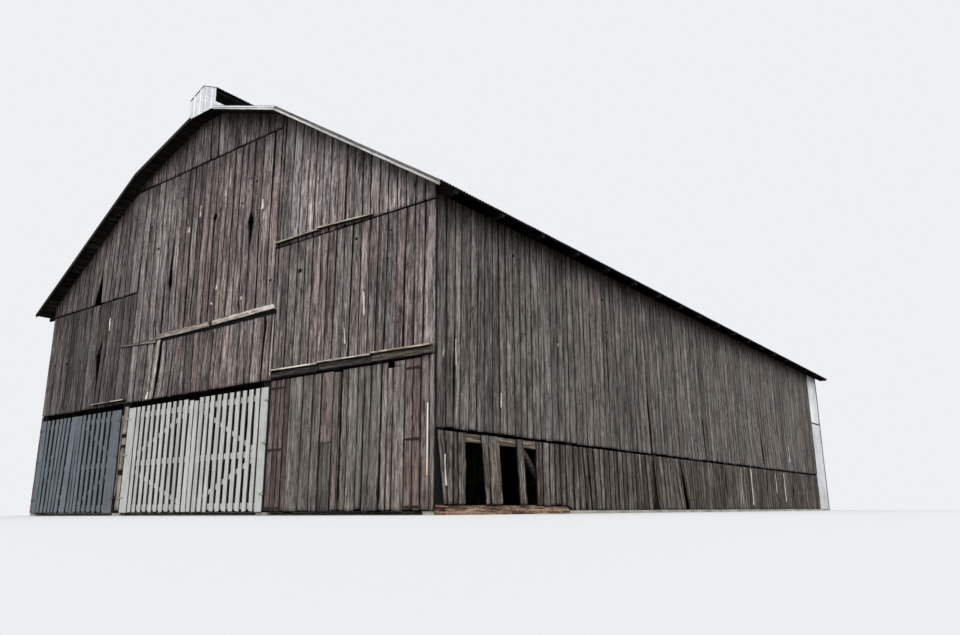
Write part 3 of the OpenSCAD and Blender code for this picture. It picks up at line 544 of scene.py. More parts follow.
class Seam:
    """A joint between two boards through (height, place, gap) points, with the next board's tone."""

    def __init__(self, points, bright=None):
        self.points = points
        self.bright = bright

    def at(self, height):
        """The joint's place and width at a height."""
        if height <= self.points[0][0]:
            return self.points[0][1:]
        for (z0, p0, g0), (z1, p1, g1) in zip(self.points, self.points[1:]):
            if height <= z1:
                t = (height - z0) / (z1 - z0)
                return p0 + (p1 - p0) * t, g0 + (g1 - g0) * t
        return self.points[-1][1:]

    def edge(self, height, direction):
        """The edge of the board to the right (1) or to the left (-1) of the joint."""
        place, gap = self.at(height)
        return place + direction * gap / 2

    def stops(self):
        """The heights at which the joint bends."""
        return [point[0] for point in self.points]

    def middle(self):
        """The mean place of the joint."""
        return sum(point[1] for point in self.points) / len(self.points)


def seams(marks, shift, swell):
    """Joints from (place, gap, brightness) or from chains of (height, place, gap), gaps in mm."""
    result = []
    for mark in marks:
        chain = isinstance(mark[0], tuple)
        points = mark if chain else [(0.0, *mark[:2])]
        bright = None if chain or len(mark) < 3 else mark[2]
        result.append(Seam([(z, place + shift, gap * swell / 1000) for z, place, gap in points], bright))
    return result


def split(dice, start, end, width, gap, marks=()):
    """The joints of a stretch of wall: its ends, the marked ones, and others drawn between them."""
    start, end = [s if isinstance(s, Seam) else Seam([(0.0, s, 0.0)]) for s in (start, end)]
    ends = [start, *sorted(marks, key=Seam.middle), end]
    joints = [start]
    for first, second in zip(ends, ends[1:]):
        count = max(1, round((second.middle() - first.middle()) / width))
        weights = [dice.uniform(0.72, 1.28) for _ in range(count)]
        place = 0
        for weight in weights[:-1]:
            place += weight / sum(weights)
            wide = gap * dice.uniform(0.3, 1.9)
            joints.append(Seam([(z, first.at(z)[0] * (1 - place) + second.at(z)[0] * place, wide)
                                for z in sorted({*first.stops(), *second.stops()})]))
        joints.append(second)
    return joints


def clad(pile, axes, start, end, foot, head, out, marks=(), swell=1.6, shift=0.0, width=0.2,
         gap=0.009, rough=0.008, rows=6, wander=0.002, spread=0.2):
    """Covers a stretch of wall with upright boards between two height lines."""
    joints = split(pile.dice, start, end, width, gap, seams(marks, shift, swell))
    for left, right in zip(joints, joints[1:]):
        drop = pile.dice.uniform(-rough, rough)
        skew = pile.dice.gauss(0, rough * 0.3)
        lift = abs(pile.dice.gauss(0, 0.0015))
        tone = pile.tone(spread)
        if left.bright is not None:
            tone = (left.bright, *tone[1:])
        low, high = [[(u, at(line, u)) for u in (left.edge(far, 1), right.edge(far, -1))]
                     for line, far in ((foot, -99.0), (head, 99.0))]
        low = [(u, z + drop + tilt) for (u, z), tilt in zip(low, (skew, -skew))]
        pile.board(axes, low, high, (0, out + lift), rows, wander, tone=tone, sides=(left, right),
                   stops=left.stops() + right.stops())


def stretch(seed, name, finish, node, *span, slot="front_boards", **options):
    """Clads one stretch of wall as a piece of its own."""
    pile = Pile(seed)
    clad(pile, *span, **options)
    pile.make(name, finish, [node])


# Walls


RIGHT_WALL = (
    (2.4, 9), (2.54, 4), (2.71, 14, 0.42), (2.93, 8, 0.5), (3.13, 7, 0.62), (3.32, 9, 0.68),
    (3.53, 6, 0.6), (3.71, 7, 0.4), ((2.4, 3.885, 10), (3.2, 3.9, 16), (4.6, 3.917, 12)),
    (4.11, 4, 0.62), ((2.4, 4.278, 22), (4.6, 4.309, 18)), (4.5, 7, 0.75), (4.7, 8, 0.45),
    ((2.4, 4.878, 13), (4.6, 4.905, 6)), ((2.4, 5.068, 12), (4.6, 5.106, 11)), (5.3, 5, 0.45),
    ((2.4, 5.47, 16), (3.6, 5.476, 20), (4.6, 5.504, 12)), (5.68, 5, 0.62),
    ((2.4, 5.862, 10), (4.6, 5.896, 14)))
RIGHT_GABLE = (
    (2.4, 12, 0.3), (2.68, 10, 0.62), (2.91, 5, 0.66), (3.12, 6, 0.8), (3.3, 10, 0.68), (3.5, 7, 0.74),
    (3.7, 12, 0.66), (3.9, 3, 0.7), ((4.7, 4.096, 26), (6.2, 4.105, 16)), (4.3, 5, 0.6),
    (4.5, 11, 0.55), (4.69, 10, 0.75), (4.9, 8, 0.7), (5.09, 10, 0.78), (5.29, 8, 0.82),
    (5.48, 8, 0.75), (5.68, 7, 0.8), (5.88, 9, 0.7))
LEFT_WALL = (
    (-5.76, 7), ((2.4, -5.11, 5), (4.6, -5.138, 12)), (-4.85, 4), (-4.53, 7), (-4.25, 8),
    ((2.5, -3.87, 6), (4.1, -3.88, 6), (4.5, -3.89, 16)),
    ((2.4, -3.7, 6), (2.8, -3.705, 20), (3.45, -3.73, 90), (3.8, -3.64, 6)),
    ((2.4, -3.5, 14), (4.1, -3.455, 14), (4.5, -3.44, 8)), (-3.2, 5), (-3.03, 4), (-2.85, 8),
    (-2.56, 5))
LEFT_GABLE = (
    (-5.59, 5), (-5.25, 6), (-5.03, 7), (-4.79, 7), (-4.39, 13),
    ((4.68, -4.05, 200), (5.45, -3.965, 10), (6.2, -3.93, 6)), (-3.74, 12), (-3.35, 9), (-3.15, 4),
    ((4.7, -2.89, 10), (5.9, -2.94, 18), (6.6, -2.95, 6)), (-2.7, 7))
PEAK = (
    (-2.2, 4), (-1.64, 12), (-1.28, 4), (-0.9, 5), (-0.64, 9), ((7.1, -0.01, 26), (8.0, -0.04, 18)),
    ((7.1, 0.255, 24), (7.9, 0.22, 14)), (0.55, 4), (0.81, 6), (1.19, 6), (1.58, 7), (1.87, 6),
    (2.06, 5))
MIDDLE = (
    ((4.8, -2.07, 5), (5.2, -2.08, 20), (6.3, -2.11, 4)),
    ((2.3, -1.73, 6), (3.5, -1.7, 6), (4.3, -1.8, 9), (5.8, -1.83, 10), (6.3, -1.86, 4)),
    ((2.3, -1.5, 8), (3.4, -1.45, 10), (3.7, -1.55, 12), (5.6, -1.59, 5), (7.0, -1.61, 18)),
    ((2.3, -1.32, 50), (2.7, -1.275, 80), (3.1, -1.24, 90), (3.45, -1.21, 60), (3.65, -1.25, 30),
     (4.5, -1.28, 18), (4.9, -1.29, 5)),
    ((2.3, -0.99, 6), (2.95, -0.985, 20), (3.5, -1.0, 6), (4.5, -1.07, 12), (4.66, -1.09, 74),
     (4.8, -1.09, 58), (5.8, -1.08, 12), (6.3, -1.08, 4)),
    ((2.3, -0.82, 24), (2.9, -0.75, 20), (3.2, -0.745, 6), (4.3, -0.84, 8), (7.0, -0.89, 4)),
    ((3.7, -0.65, 4), (6.0, -0.69, 13), (7.0, -0.7, 24)),
    ((2.3, -0.44, 6), (3.4, -0.45, 6), (3.7, -0.447, 28), (6.3, -0.485, 13), (7.0, -0.49, 20)),
    ((2.3, -0.3, 7), (3.4, -0.3, 10), (4.3, -0.232, 9), (7.0, -0.28, 7)),
    ((2.3, -0.02, 10), (3.8, -0.05, 4), (4.9, -0.09, 9), (5.2, -0.096, 22), (6.5, -0.1, 4)),
    ((2.3, 0.17, 6), (3.4, 0.152, 9), (3.7, 0.13, 18), (5.0, 0.13, 4)),
    ((2.3, 0.28, 9), (3.8, 0.335, 14), (5.65, 0.31, 16), (5.77, 0.33, 64), (5.88, 0.33, 5)),
    ((2.3, 0.568, 6), (3.4, 0.588, 11), (4.2, 0.52, 5)), (0.69, 6),
    ((2.3, 0.87, 9), (4.3, 0.912, 13), (6.5, 0.88, 14)),
    ((2.3, 1.09, 5), (4.5, 1.11, 6), (5.3, 1.1, 14), (6.8, 1.1, 16)),
    ((2.3, 1.4, 6), (3.4, 1.4, 7), (3.8, 1.31, 14), (5.5, 1.296, 5), (7.0, 1.28, 8)),
    ((2.3, 1.64, 8), (3.4, 1.52, 5), (4.9, 1.52, 18), (5.2, 1.51, 50), (5.4, 1.5, 84),
     (5.6, 1.51, 16), (7.0, 1.51, 13)),
    ((2.3, 1.79, 6), (3.4, 1.808, 10), (3.8, 1.815, 24), (5.2, 1.77, 11)),
    ((2.3, 2.112, 15), (3.3, 2.144, 28), (3.6, 2.12, 5), (5.0, 2.09, 5), (5.8, 2.09, 13),
     (6.3, 2.095, 30), (7.0, 2.09, 28)))
SIDE_WALL = (
    (0.25, 11, 0.4), ((1.2, 0.42, 6), (2.1, 0.445, 28), (3.2, 0.46, 6), (4.8, 0.475, 8)),
    ((1.2, 0.975, 9), (4.8, 1.07, 6)), ((1.2, 1.4, 5), (4.8, 1.45, 8)), (1.6, 12), (2.02, 10),
    ((1.2, 2.375, 9), (4.8, 2.41, 9)), (2.79, 8), ((1.2, 3.16, 8), (4.8, 3.22, 6)),
    ((1.2, 3.765, 8), (4.8, 3.81, 13)), (4.0, 8), ((1.2, 5.33, 5), (3.3, 5.34, 12), (4.0, 5.34, 5)),
    (5.71, 10), ((1.2, 5.9, 7), (4.0, 5.95, 6), (4.8, 5.98, 14)),
    ((1.2, 6.67, 5), (2.9, 6.68, 9), (3.3, 6.7, 26), (3.9, 6.72, 5)),
    ((1.2, 7.195, 36), (1.6, 7.17, 58), (2.2, 7.12, 46), (2.5, 7.11, 22), (4.8, 7.07, 9)), (7.7, 9),
    (8.29, 9), (8.69, 9),
    ((1.2, 10.33, 6), (1.45, 10.29, 28), (1.9, 10.25, 42), (2.3, 10.23, 10), (3.0, 10.22, 5)),
    (10.73, 9), (12.1, 8), ((1.2, 12.79, 10), (1.5, 12.77, 30), (2.4, 12.74, 5)),
    ((1.2, 14.88, 10), (1.45, 14.84, 62), (1.9, 14.77, 56), (2.3, 14.73, 10), (2.8, 14.7, 4)))
SIDE_BASE = (
    (3.05, 12), (3.85, 20), ((0.1, 4.47, 22), (0.6, 4.43, 28), (1.2, 4.36, 12)), (5.01, 10), (5.42, 14),
    (6.2, 9), ((0.1, 6.92, 14), (1.2, 6.84, 18)),
    ((0.05, 7.3, 150), (0.35, 7.28, 66), (0.8, 7.24, 46), (1.2, 7.2, 38)),
    ((0.1, 7.62, 8), (1.2, 7.48, 8)), ((0.1, 7.84, 8), (1.2, 7.7, 8)),
    ((0.1, 8.07, 16), (1.2, 7.91, 12)), ((0.1, 8.35, 8), (1.2, 8.13, 7)),
    ((0.1, 8.62, 10), (1.2, 8.38, 8)),
    ((0.05, 8.97, 94), (0.35, 8.88, 96), (0.7, 8.8, 66), (0.95, 8.72, 14), (1.2, 8.68, 8)),
    ((0.1, 9.25, 8), (1.2, 9.03, 7)), (9.46, 9), (9.82, 10), (9.95, 5, 0.8), (10.12, 9), (10.5, 9),
    (11.25, 9), ((0.05, 11.6, 10), (0.8, 11.57, 44), (1.1, 11.57, 14)), (12.7, 5, 0.95), (12.81, 14),
    (13.54, 5, 0.95), (13.65, 12), (13.8, 14),
    ((0.4, 14.93, 8), (0.7, 14.95, 58), (1.0, 14.97, 48), (1.15, 14.98, 10)), (15.8, 6, 0.85),
    (15.94, 9), (16.64, 6, 0.85), (16.78, 9), ((0.3, 17.55, 10), (0.6, 17.6, 64), (0.95, 17.62, 12)))


def front_walls(right, left, middle):
    """The boards of the front between the heads of the doorways and the seams."""
    foot = HEAD_Z + 0.004
    stretch(11, "front_boards_right", right, "front_wall_right", FRONT, MIDDLE_X, HALF_W, foot,
            EAVE_SEAM - 0.016, 0.024, RIGHT_WALL, spread=0.12)
    stretch(12, "front_boards_left", left, "front_wall_left", FRONT, -HALF_W, -MIDDLE_X - 0.02, foot,
            EAVE_SEAM - 0.018, 0.024, LEFT_WALL, 2.1, width=0.26, gap=0.012, spread=0.22)
    stretch(13, "front_boards_middle", middle, "front_wall_middle", FRONT, -MIDDLE_X, MIDDLE_X, foot,
            PEAK_SEAM - 0.022, 0.031, MIDDLE, 1.9, width=0.26, gap=0.012, rows=9, wander=0.003,
            spread=0.17)


def gable_boards(right, left, middle):
    """The boards over the seams of the front."""
    start = Seam([(0.0, MIDDLE_X + 0.014, 0.0)], 0.3)
    end = Seam([(4.69, -2.375, 0.0), (5.3, -2.36, 0.0), (6.5, -2.33, 0.0)])
    stretch(21, "gable_boards_right", right, "front_gable_right", FRONT, start, HALF_W,
            EAVE_SEAM + 0.012, roof_z, 0.026, RIGHT_GABLE, rows=8, spread=0.11)
    stretch(22, "gable_boards_left", left, "front_gable_left", FRONT, -HALF_W, end,
            EAVE_SEAM + 0.018, lambda x: min(PEAK_SEAM - 0.022, roof_z(x)), 0.026, LEFT_GABLE,
            width=0.26, rows=7, spread=0.12)
    stretch(23, "gable_boards_peak", middle, "front_gable_peak", FRONT, -BREAK_X - 0.35, MIDDLE_X,
            PEAK_SEAM + 0.014, roof_z, 0.034, PEAK, width=0.3, spread=0.1)


def corner_boards(finish):
    """The fixed boards beside the outer leaves."""
    pile = Pile(31)
    for left, right, foot, tone in ((5.844, 6.0, 0.07, (0.5, 0.2, 0.1)),
                                    (6.006, 6.098, 0.06, (0.62, 0.3, 0.0)),
                                    (-6.098, -6.019, 0.07, (0.4, 0.9, 0.0))):
        pile.plank(FRONT, (left, right), (foot, 2.26), (0, 0.024), tone=tone, rows=8, wander=0.003)
    pile.make("corner_planks", finish, ["corner_boards"])


def right_wall(finish, base_finish):
    """The boards of the right wall over and under the step in it."""
    stretch(41, "side_boards_right", finish, "side_wall_right", RIGHT,
            Seam([(0.0, -FRAME_Y, 0.01)], 0.3), METAL_Y, BASE_Z + 0.022, EAVE_Z, 0.026, SIDE_WALL,
            1.8, -HALF_L, slot="side_boards", width=0.21, rows=7, rough=0.012, gap=0.01, spread=0.13)
    base = Pile(42)
    for *places, tone in ((0.22, 0.3, 0.07, 0.235, 0.6), (0.315, 0.42, 0.245, 0.42, 0.75),
                          (0.44, 0.55, 0.435, 0.53, 0.45), (0.565, 0.72, 0.54, 0.725, 0.6),
                          (1.24, 1.345, 1.112, 1.285, 0.6), (1.375, 1.665, 1.3, 1.57, 0.85),
                          (2.155, 2.35, 2.052, 2.25, 0.62)):
        y = [place - HALF_L for place in places]
        base.board(RIGHT, ((y[0], SILL_Z + 0.005), (y[1], SILL_Z + 0.012)),
                   ((y[2], 1.172), (y[3], 1.176)), (0, 0.02), tone=(tone, 0.3, 0.1), rows=9,
                   wander=0.005)
    clad(base, RIGHT, 2.65 - HALF_L, METAL_Y,
         lambda y: SILL_Z + 0.004 if y < -7.33 else FOOTING_Z + 0.005, BASE_Z - 0.026, 0.02,
         SIDE_BASE, 2.0, -HALF_L, width=0.19, gap=0.017, rough=0.018, wander=0.004)
    base.make("base_boards_right", base_finish, ["side_wall_right_base"])


def plain_walls(finish):
    """The boards of the left wall and of the rear wall, each in one length over another."""
    close = {"gap": 0.003, "rough": 0.0}
    left = Pile(51)
    clad(left, LEFT, -FRAME_Y, FRAME_Y, BASE_Z + 0.001, EAVE_Z, 0.026, **close)
    clad(left, LEFT, -FRAME_Y, FRAME_Y, FOOTING_Z + 0.001, BASE_Z - 0.001, 0.02, width=0.18, **close)
    left.make("side_boards_left", finish, ["side_wall_left"])
    rear = Pile(61)
    clad(rear, REAR, -HALF_W, HALF_W, FOOTING_Z + 0.001, EAVE_SEAM - 0.001, 0.024, rows=7, **close)
    clad(rear, REAR, -HALF_W, HALF_W, EAVE_SEAM + 0.001, roof_z, 0.026, rows=7, **close)
    rear.make("rear_boards", finish, ["rear_wall", "rear_gable"])


def ribbed_sheet(pile, axes, start, end, foot, head, pitch, tone):
    """Adds a sheet with narrow upright ribs between two height lines."""
    count = max(1, round((end - start) / pitch))
    step = (end - start) / count
    places = [(start + (i + share) * step, n) for i in range(count)
              for share, n in ((0, 0.004), (0.4, 0.004), (0.45, 0.018), (0.52, 0.018), (0.57, 0.004))]
    places.append((end, 0.004))
    pile.slab(axes, [[(u, at(line, u), n) for u, n in places] for line in (foot, head)], tone=tone)


def metal_end(finish):
    """The ribbed sheets at the far end of the right wall, in two rows."""
    pile = Pile(71)
    for foot, head, tone in ((FOOTING_Z + 0.005, 3.02, 0.15), (3.07, EAVE_Z, 0.9)):
        ribbed_sheet(pile, RIGHT, METAL_Y, FRAME_Y, foot, head, 0.2, (tone, 0.5, 0.5))
    pile.make("metal_end_sheets", finish, ["side_wall_right_end"])


# Splinters on the front and on the right wall: place, height, width, length, lean of the tip
SPLINTERS = (
    (FRONT, (
        (4.62, 3.26, 0.045, 0.4, -0.03), (4.205, 2.84, 0.03, 0.36, -0.04),
        (3.585, 2.8, 0.02, 0.36, 0.01), (1.385, 3.91, 0.06, 0.07, 0.0), (1.0, 3.99, 0.05, 0.08, 0.02),
        (0.565, 4.26, 0.045, 0.09, 0.01), (0.45, 3.96, 0.05, 0.06, 0.0), (0.63, 6.2, 0.05, 0.13, 0.0),
        (1.84, 5.66, 0.04, 0.2, 0.0), (1.9, 5.42, 0.035, 0.16, 0.0), (-0.2, 6.02, 0.035, 0.24, 0.0),
        (-0.56, 5.7, 0.05, 0.12, 0.01), (-1.55, 2.36, 0.07, 0.15, 0.03),
        (-3.38, 4.12, 0.035, 0.3, -0.02), (2.34, 2.9, 0.03, 1.12, 0.035))),
    (RIGHT, (
        (3.44, 2.97, 0.03, 0.06, 0.0), (0.17, 2.31, 0.02, 0.16, 0.03), (1.63, 1.76, 0.025, 0.24, 0.0),
        (0.48, 2.36, 0.015, 0.4, 0.0), (4.83, 2.15, 0.03, 0.06, 0.0), (0.27, 0.62, 0.024, 0.44, -0.03),
        (12.755, 0.66, 0.05, 0.95, 0.02), (13.595, 0.66, 0.055, 0.98, 0.01),
        (15.86, 0.8, 0.04, 0.6, 0.0), (16.71, 0.7, 0.05, 0.85, 0.0), (17.5, 1.75, 0.05, 0.5, 0.0))))

# Knots on the same walls: place, height, radius
KNOTS = (
    (FRONT, (
        (3.01, 4.12, 0.036), (4.39, 4.4, 0.022), (-2.02, 6.1, 0.026), (1.42, 6.3, 0.022),
        (1.2, 5.84, 0.022), (1.3, 5.8, 0.02), (-0.25, 5.63, 0.024), (-1.67, 5.53, 0.026),
        (5.17, 4.37, 0.016), (4.55, 5.28, 0.014), (3.66, 3.85, 0.018), (1.6, 6.2, 0.02),
        (2.2, 4.1, 0.02), (-5.2, 3.44, 0.03), (-5.76, 3.46, 0.028), (-3.36, 5.7, 0.024))),
    (RIGHT, (
        (2.06, 4.3, 0.024), (2.03, 3.19, 0.022), (2.4, 3.57, 0.016), (2.37, 2.97, 0.018),
        (1.9, 2.27, 0.016), (4.04, 2.84, 0.022), (5.24, 4.2, 0.024), (5.38, 3.55, 0.022),
        (6.8, 1.72, 0.02), (1.11, 3.12, 0.016), (9.7, 1.66, 0.03))))


def spot(axes, place, height):
    """A plane with its origin on a wall, and how far out its boards reach there."""
    if axes is RIGHT:
        return moved(axes, place - HALF_L, height), 0.022 if height < BASE_Z else 0.0265
    return moved(axes, place, height), 0.0335 if abs(place) < MIDDLE_X else 0.0265


def chips(finish, dark):
    """Torn pale splinters, and dark knots that stand in the boards."""
    # The splinters keep bright edges, with their backs darkened as painted shade.
    pale = Pile(75, 0.02)
    for wall, marks in SPLINTERS:
        for place, height, wide, long, lean in marks:
            axes, proud = spot(wall, place, height - long / 2)
            pale.board(axes, ((-wide * 0.6, 0.0), (wide * 0.6, 0.0)),
                       ((lean - wide * 0.3, long), (lean + wide * 0.3, long)),
                       (-0.002, proud + 0.0052), wander=wide * 0.16, twist=0.0002, bevel=0.002)
    pale.make("pale_splinters", finish)
    knots = Pile(76)
    for wall, marks in KNOTS:
        for place, height, radius in marks:
            axes, proud = spot(wall, place, height)
            rings = [(1.0, proud - 0.002), (0.8, proud + 0.0008), (0.0, proud + 0.0012)]
            dome(knots, axes, (0, 0), (radius * 1.6, radius * 1.3), 12, rings, -0.002, (0.3, 0.6, 0.2))
    knots.make("dark_knots", dark)


# Roof


def slope(side, pitch, x=BREAK_X, z=BREAK_Z):
    """A plane on a roof slope: across along the barn, along down the slope, out of its surface."""
    down = Vector((side * math.cos(pitch), 0, -math.sin(pitch)))
    out = Vector((side * math.sin(pitch), 0, math.cos(pitch)))
    return Vector((side * x, 0, z)), Y, down, out


def corrugated(pile, axes, u0, u1, v0, v1, lift):
    """Adds one corrugated sheet, with its crests lift below the roof surface."""
    pitch = 0.0678
    count = max(6, round((u1 - u0) / pitch * 6))
    line = []
    for i in range(count + 1):
        u = u0 + (u1 - u0) * i / count
        line.append((u, 0.0062 * (math.cos(2 * math.pi * u / pitch) - 1) - lift))
    upper = [[(u, v, n) for u, n in line] for v in (v0, v0 + 0.02, v1 - 0.02, v1)]
    pile.slab(axes, upper, tone=pile.tone(0.22))


def sheet_places():
    """The start and end of each sheet along the barn, and how much its lap sinks it."""
    count = round(2 * RAKE_Y / SHEET_STEP)
    starts = [-RAKE_Y + i * 2 * RAKE_Y / count for i in range(count)]
    return [(y, min(RAKE_Y, y + 2 * RAKE_Y / count + SHEET_LAP), 0.0008 + 0.0014 * (i % 2))
            for i, y in enumerate(starts)]


def roof_sheets(finish):
    """The corrugated sheets of both slopes, lapped on each other."""
    lower = Pile(81)
    upper = Pile(82)
    for side in (1, -1):
        for y, end, lap in sheet_places():
            short = abs(lower.dice.gauss(0, 0.008))
            corrugated(lower, slope(side, LOWER), y, end, 2.35, LOWER_RUN - short, 0.0027 + lap)
            corrugated(lower, slope(side, LOWER), y, end, 0.002, 2.5, lap)
            corrugated(upper, slope(side, UPPER), y, end, -UPPER_RUN + 0.002, 0.0, lap)
    lower.make("roof_sheets_lower_slopes", finish, ["roof_sheets_lower"], smooth=True)
    upper.make("roof_sheets_upper_slopes", finish, ["roof_sheets_upper"], smooth=True)


def roof_boards(finish):
    """The boards under the sheets, in lengths laid along the barn."""
    pile = Pile(91)
    end = RAKE_Y - 0.004
    for side in (1, -1):
        for pitch, first, last in ((LOWER, 0.006, LOWER_RUN), (UPPER, -UPPER_RUN, -0.008)):
            seen = split(pile.dice, first, last, 0.17, 0.012)
            for left, right in zip(seen, seen[1:]):
                shift = pile.dice.uniform(-1.2, 1.2)
                cuts = [-end, *(cut + shift for cut in (-7.3, -3.7, 0.0, 3.7, 7.3)), end]
                for a, b in zip(cuts, cuts[1:]):
                    pile.plank(lying(slope(side, pitch)), (left.edge(0, 1), right.edge(0, -1)),
                               (a + 0.002, b - 0.002), (-DECK_D + 0.001, -SHEET_D), rows=1,
                               wander=0.0, twist=0.0)
    pile.make("roof_deck_boards", finish, ["roof_boards_lower", "roof_boards_upper"])


def rake_strip(pile, side, end, is_upper, layer, bright):
    """Adds a strip along one slope of a roof end: two depths under the roof and two from its face."""
    top, foot, back, face = layer
    origin, _, down, out = slope(side, UPPER if is_upper else LOWER)
    bend = math.tan((LOWER - UPPER) / 2)
    if is_upper:
        ends = [((-d, -UPPER_RUN), (-d, -0.001 - d * bend)) for d in (foot, top)]
    else:
        ends = [((-d, 0.001 + d * bend), (-d, LOWER_RUN - 0.001)) for d in (foot, top)]
    pile.board((origin, out, down, Y * end), *zip(*ends), (RAKE_Y - back, RAKE_Y - face), rows=9,
               wander=0.0012, twist=0.0002, bevel=0.001, tone=(bright, 0.1, 0.2))


def rake_trim(white, light, dark):
    """The boards along the ends of the roof, and the drip strips over the ends of its boards; those on the
    left are darker as painted shade.
    """
    strip = (0.0215, 0.0445, 0.004, 0.0012)
    board = (0.0465, 0.0945, 0.0245, 0.0012)
    for name, finish, side, places in (
            ("rake_drip_upper_right", white, 1, ((True, strip, 0.9),)),
            ("rake_trim_right", light, 1, ((True, board, 0.95), (False, board, 0.8))),
            ("rake_drip_lower_right", light, 1, ((False, strip, 0.3),)),
            ("rake_trim_left", dark, -1, ((True, strip, 0.4), (False, strip, 0.4),
                                          (True, board, 0.4), (False, board, 0.4)))):
        pile = Pile(hash_name(name))
        for place in places:
            for end in (-1, 1):
                rake_strip(pile, side, end, *place)
        pile.make(name, finish, ["rake_boards"] if "trim" in name else [])


def ventilator(finish, pale, white, dark):
    """The ribbed end panels, the sheets of the roof with near-black boards under them as painted shade,
    and the curbs' flashing.
    """
    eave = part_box("ventilator_roof")[1][0]
    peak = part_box("ventilator_roof")[1][2]
    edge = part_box("ventilator_panels")[1][0]
    drop = 0.21
    pitch = math.atan2(drop, eave)
    reach = eave / math.cos(pitch)
    end_y = RAKE_Y - 0.022
    sheets = Pile(111)
    shade_lining = Pile(113)
    flashing = Pile(114)
    low = up_z(CURB_X + 0.003, 0) + 0.001
    cuts = [-end_y + k * 2 * end_y / 9 for k in range(10)]
    for side in (1, -1):
        axes = slope(side, pitch, 0, peak)
        for y, end, lap in sheet_places():
            corrugated(sheets, axes, y, end, 0.0, reach, lap)
        for a, b in ((0.004, 0.16), (0.165, 0.33), (0.335, reach - 0.004)):
            shade_lining.plank(lying(axes), (a, b), (-end_y, end_y), (-SHEET_D, -0.0142), rows=4,
                         wander=0.0, twist=0.0, bevel=0.001)
        for a, b in zip(cuts, cuts[1:]):
            flashing.plank((X * side * CURB_X, Z, Y, X * side), (low, up_z(CURB_X, 0) + 0.1),
                           (a, b - 0.002), (0.0002, 0.003), rows=2, wander=0.0, twist=0.0003,
                           bevel=0.0008)
    sheets.make("ventilator_sheets", finish, ["ventilator_roof"], smooth=True)
    shade_lining.make("ventilator_roof_boards", dark)
    panels = Pile(112)
    inner_foot = up_z(CURB_X, DECK_D) + 0.001
    head = lambda x: peak - SHEET_D / math.cos(pitch) - abs(x) * drop / eave - 0.001
    outer_foot = lambda x: up_z(x, -0.001)
    for end in (-1, 1):
        axes = (Y * end * (RAKE_Y - 0.02), -X * end, Z, Y * end)
        for left, right, foot in ((-edge, -CURB_X, outer_foot), (-CURB_X, 0, inner_foot),
                                  (0, CURB_X, inner_foot), (CURB_X, edge, outer_foot)):
            ribbed_sheet(panels, axes, left, right, foot, head, 0.21, panels.tone(0.08))
    panels.make("ventilator_end_sheets", pale, ["ventilator_panels"])
    flashing.make("curb_flashing", white)


# Boards on the front


def shelf(finish, dark):
    """The sagging shelf over the plank doors, in three lengths, and the boards behind it; the caps'
    undersides are darkened as painted shade, and the back boards are dark brown, partly as painted shade
    under the caps.
    """
    low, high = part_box("header_shelf")
    third = (high[0] - low[0] + 0.003) / 3
    sag = 0.018
    top = high[2] - sag
    caps = Pile(121, 0.02)
    backs = Pile(122)
    for i in range(3):
        a = low[0] + i * third
        b = a + third - 0.003
        for pile, z0, z1, depth in ((caps, top - 0.024, top, 0.088), (backs, low[2], top - 0.026, 0.044)):
            pile.board(lying(facing(-HALF_L)), ((z0 + sag, a), (z1 + sag, a)), ((z0, b), (z1, b)),
                       (0, depth), rows=7, wander=0.0012)
    caps.make("shelf_caps", finish, ["header_shelf"])
    backs.make("shelf_back_boards", dark, ["header_shelf"])


def nailed_boards(finish, pale):
    """The boards nailed on the middle of the front, and the thin ledges beside it."""
    upright = facing(MIDDLE_Y)
    middle = lying(upright)
    boards = Pile(123)
    for axes, foot, head, out, rows, wander, tone in (
            (middle, ((3.522, -2.808), (3.544, -2.808)), ((3.423, -1.395), (3.518, -1.395)),
             0.019, 8, 0.002, (0.2, 0.2, 0.4)),
            (middle, ((3.489, -1.378), (3.6, -1.362)), ((3.489, 0.436), (3.6, 0.424)),
             0.039, 9, 0.002, (0.62, 0.3, 0.2)),
            (middle, ((3.498, 0.56), (3.608, 0.566)), ((3.524, 2.418), (3.631, 2.37)),
             0.039, 9, 0.002, (0.8, 0.1, 0.1)),
            (upright, ((-1.42, 2.272), (-1.297, 2.276)), ((-1.325, 3.484), (-1.2, 3.484)),
             0.019, 8, 0.003, (0.9, 0.0, 0.2))):
        boards.board(axes, foot, head, (CLEAR, out), rows, wander, tone=tone)
    boards.make("nailed_boards", pale, ["shelf_boards"])
    # The ledges' undersides are darkened as painted shade.
    ledges = Pile(124, 0.02)
    for x0, x1, z0, z1, drop in ((2.35, 3.47, 4.741, 4.767, 0.0), (3.473, 4.77, 4.773, 4.799, 0.065),
                                 (-3.68, -2.35, 2.336, 2.354, 0.0)):
        ledges.board(lying(facing(-HALF_L)), ((z0, x0), (z1, x0)), ((z0 - drop, x1), (z1 - drop, x1)),
                     (0, 0.079), rows=8, wander=0.0008, tone=(0.55, 0.2, 0.2))
    ledges.make("thin_ledges", finish, ["shelf_boards"])


def painted_shadow_strips(finish):
    """Painted shadow: black strips below the nailed boards, between them, and in the seam of the peak."""
    pile = Pile(126)
    for foot, head in ((((3.442, -1.19), (3.487, -1.19)), ((3.434, 0.44), (3.487, 0.44))),
                       (((3.43, 0.445), (3.495, 0.445)), ((3.452, 2.44), (3.521, 2.44))),
                       (((3.498, 0.447), (3.598, 0.447)), ((3.498, 0.555), (3.604, 0.555)))):
        pile.board(lying(facing(MIDDLE_Y)), foot, head, (CLEAR, 0.009), rows=11, wander=0.004)
    for span in ((-BREAK_X - 0.2, -0.6), (-0.597, MIDDLE_X)):
        pile.plank(lying(FRONT), (PEAK_SEAM - 0.026, PEAK_SEAM + 0.018), span, (0.002, 0.014), rows=9)
    pile.make("painted_shadow_battens", finish)


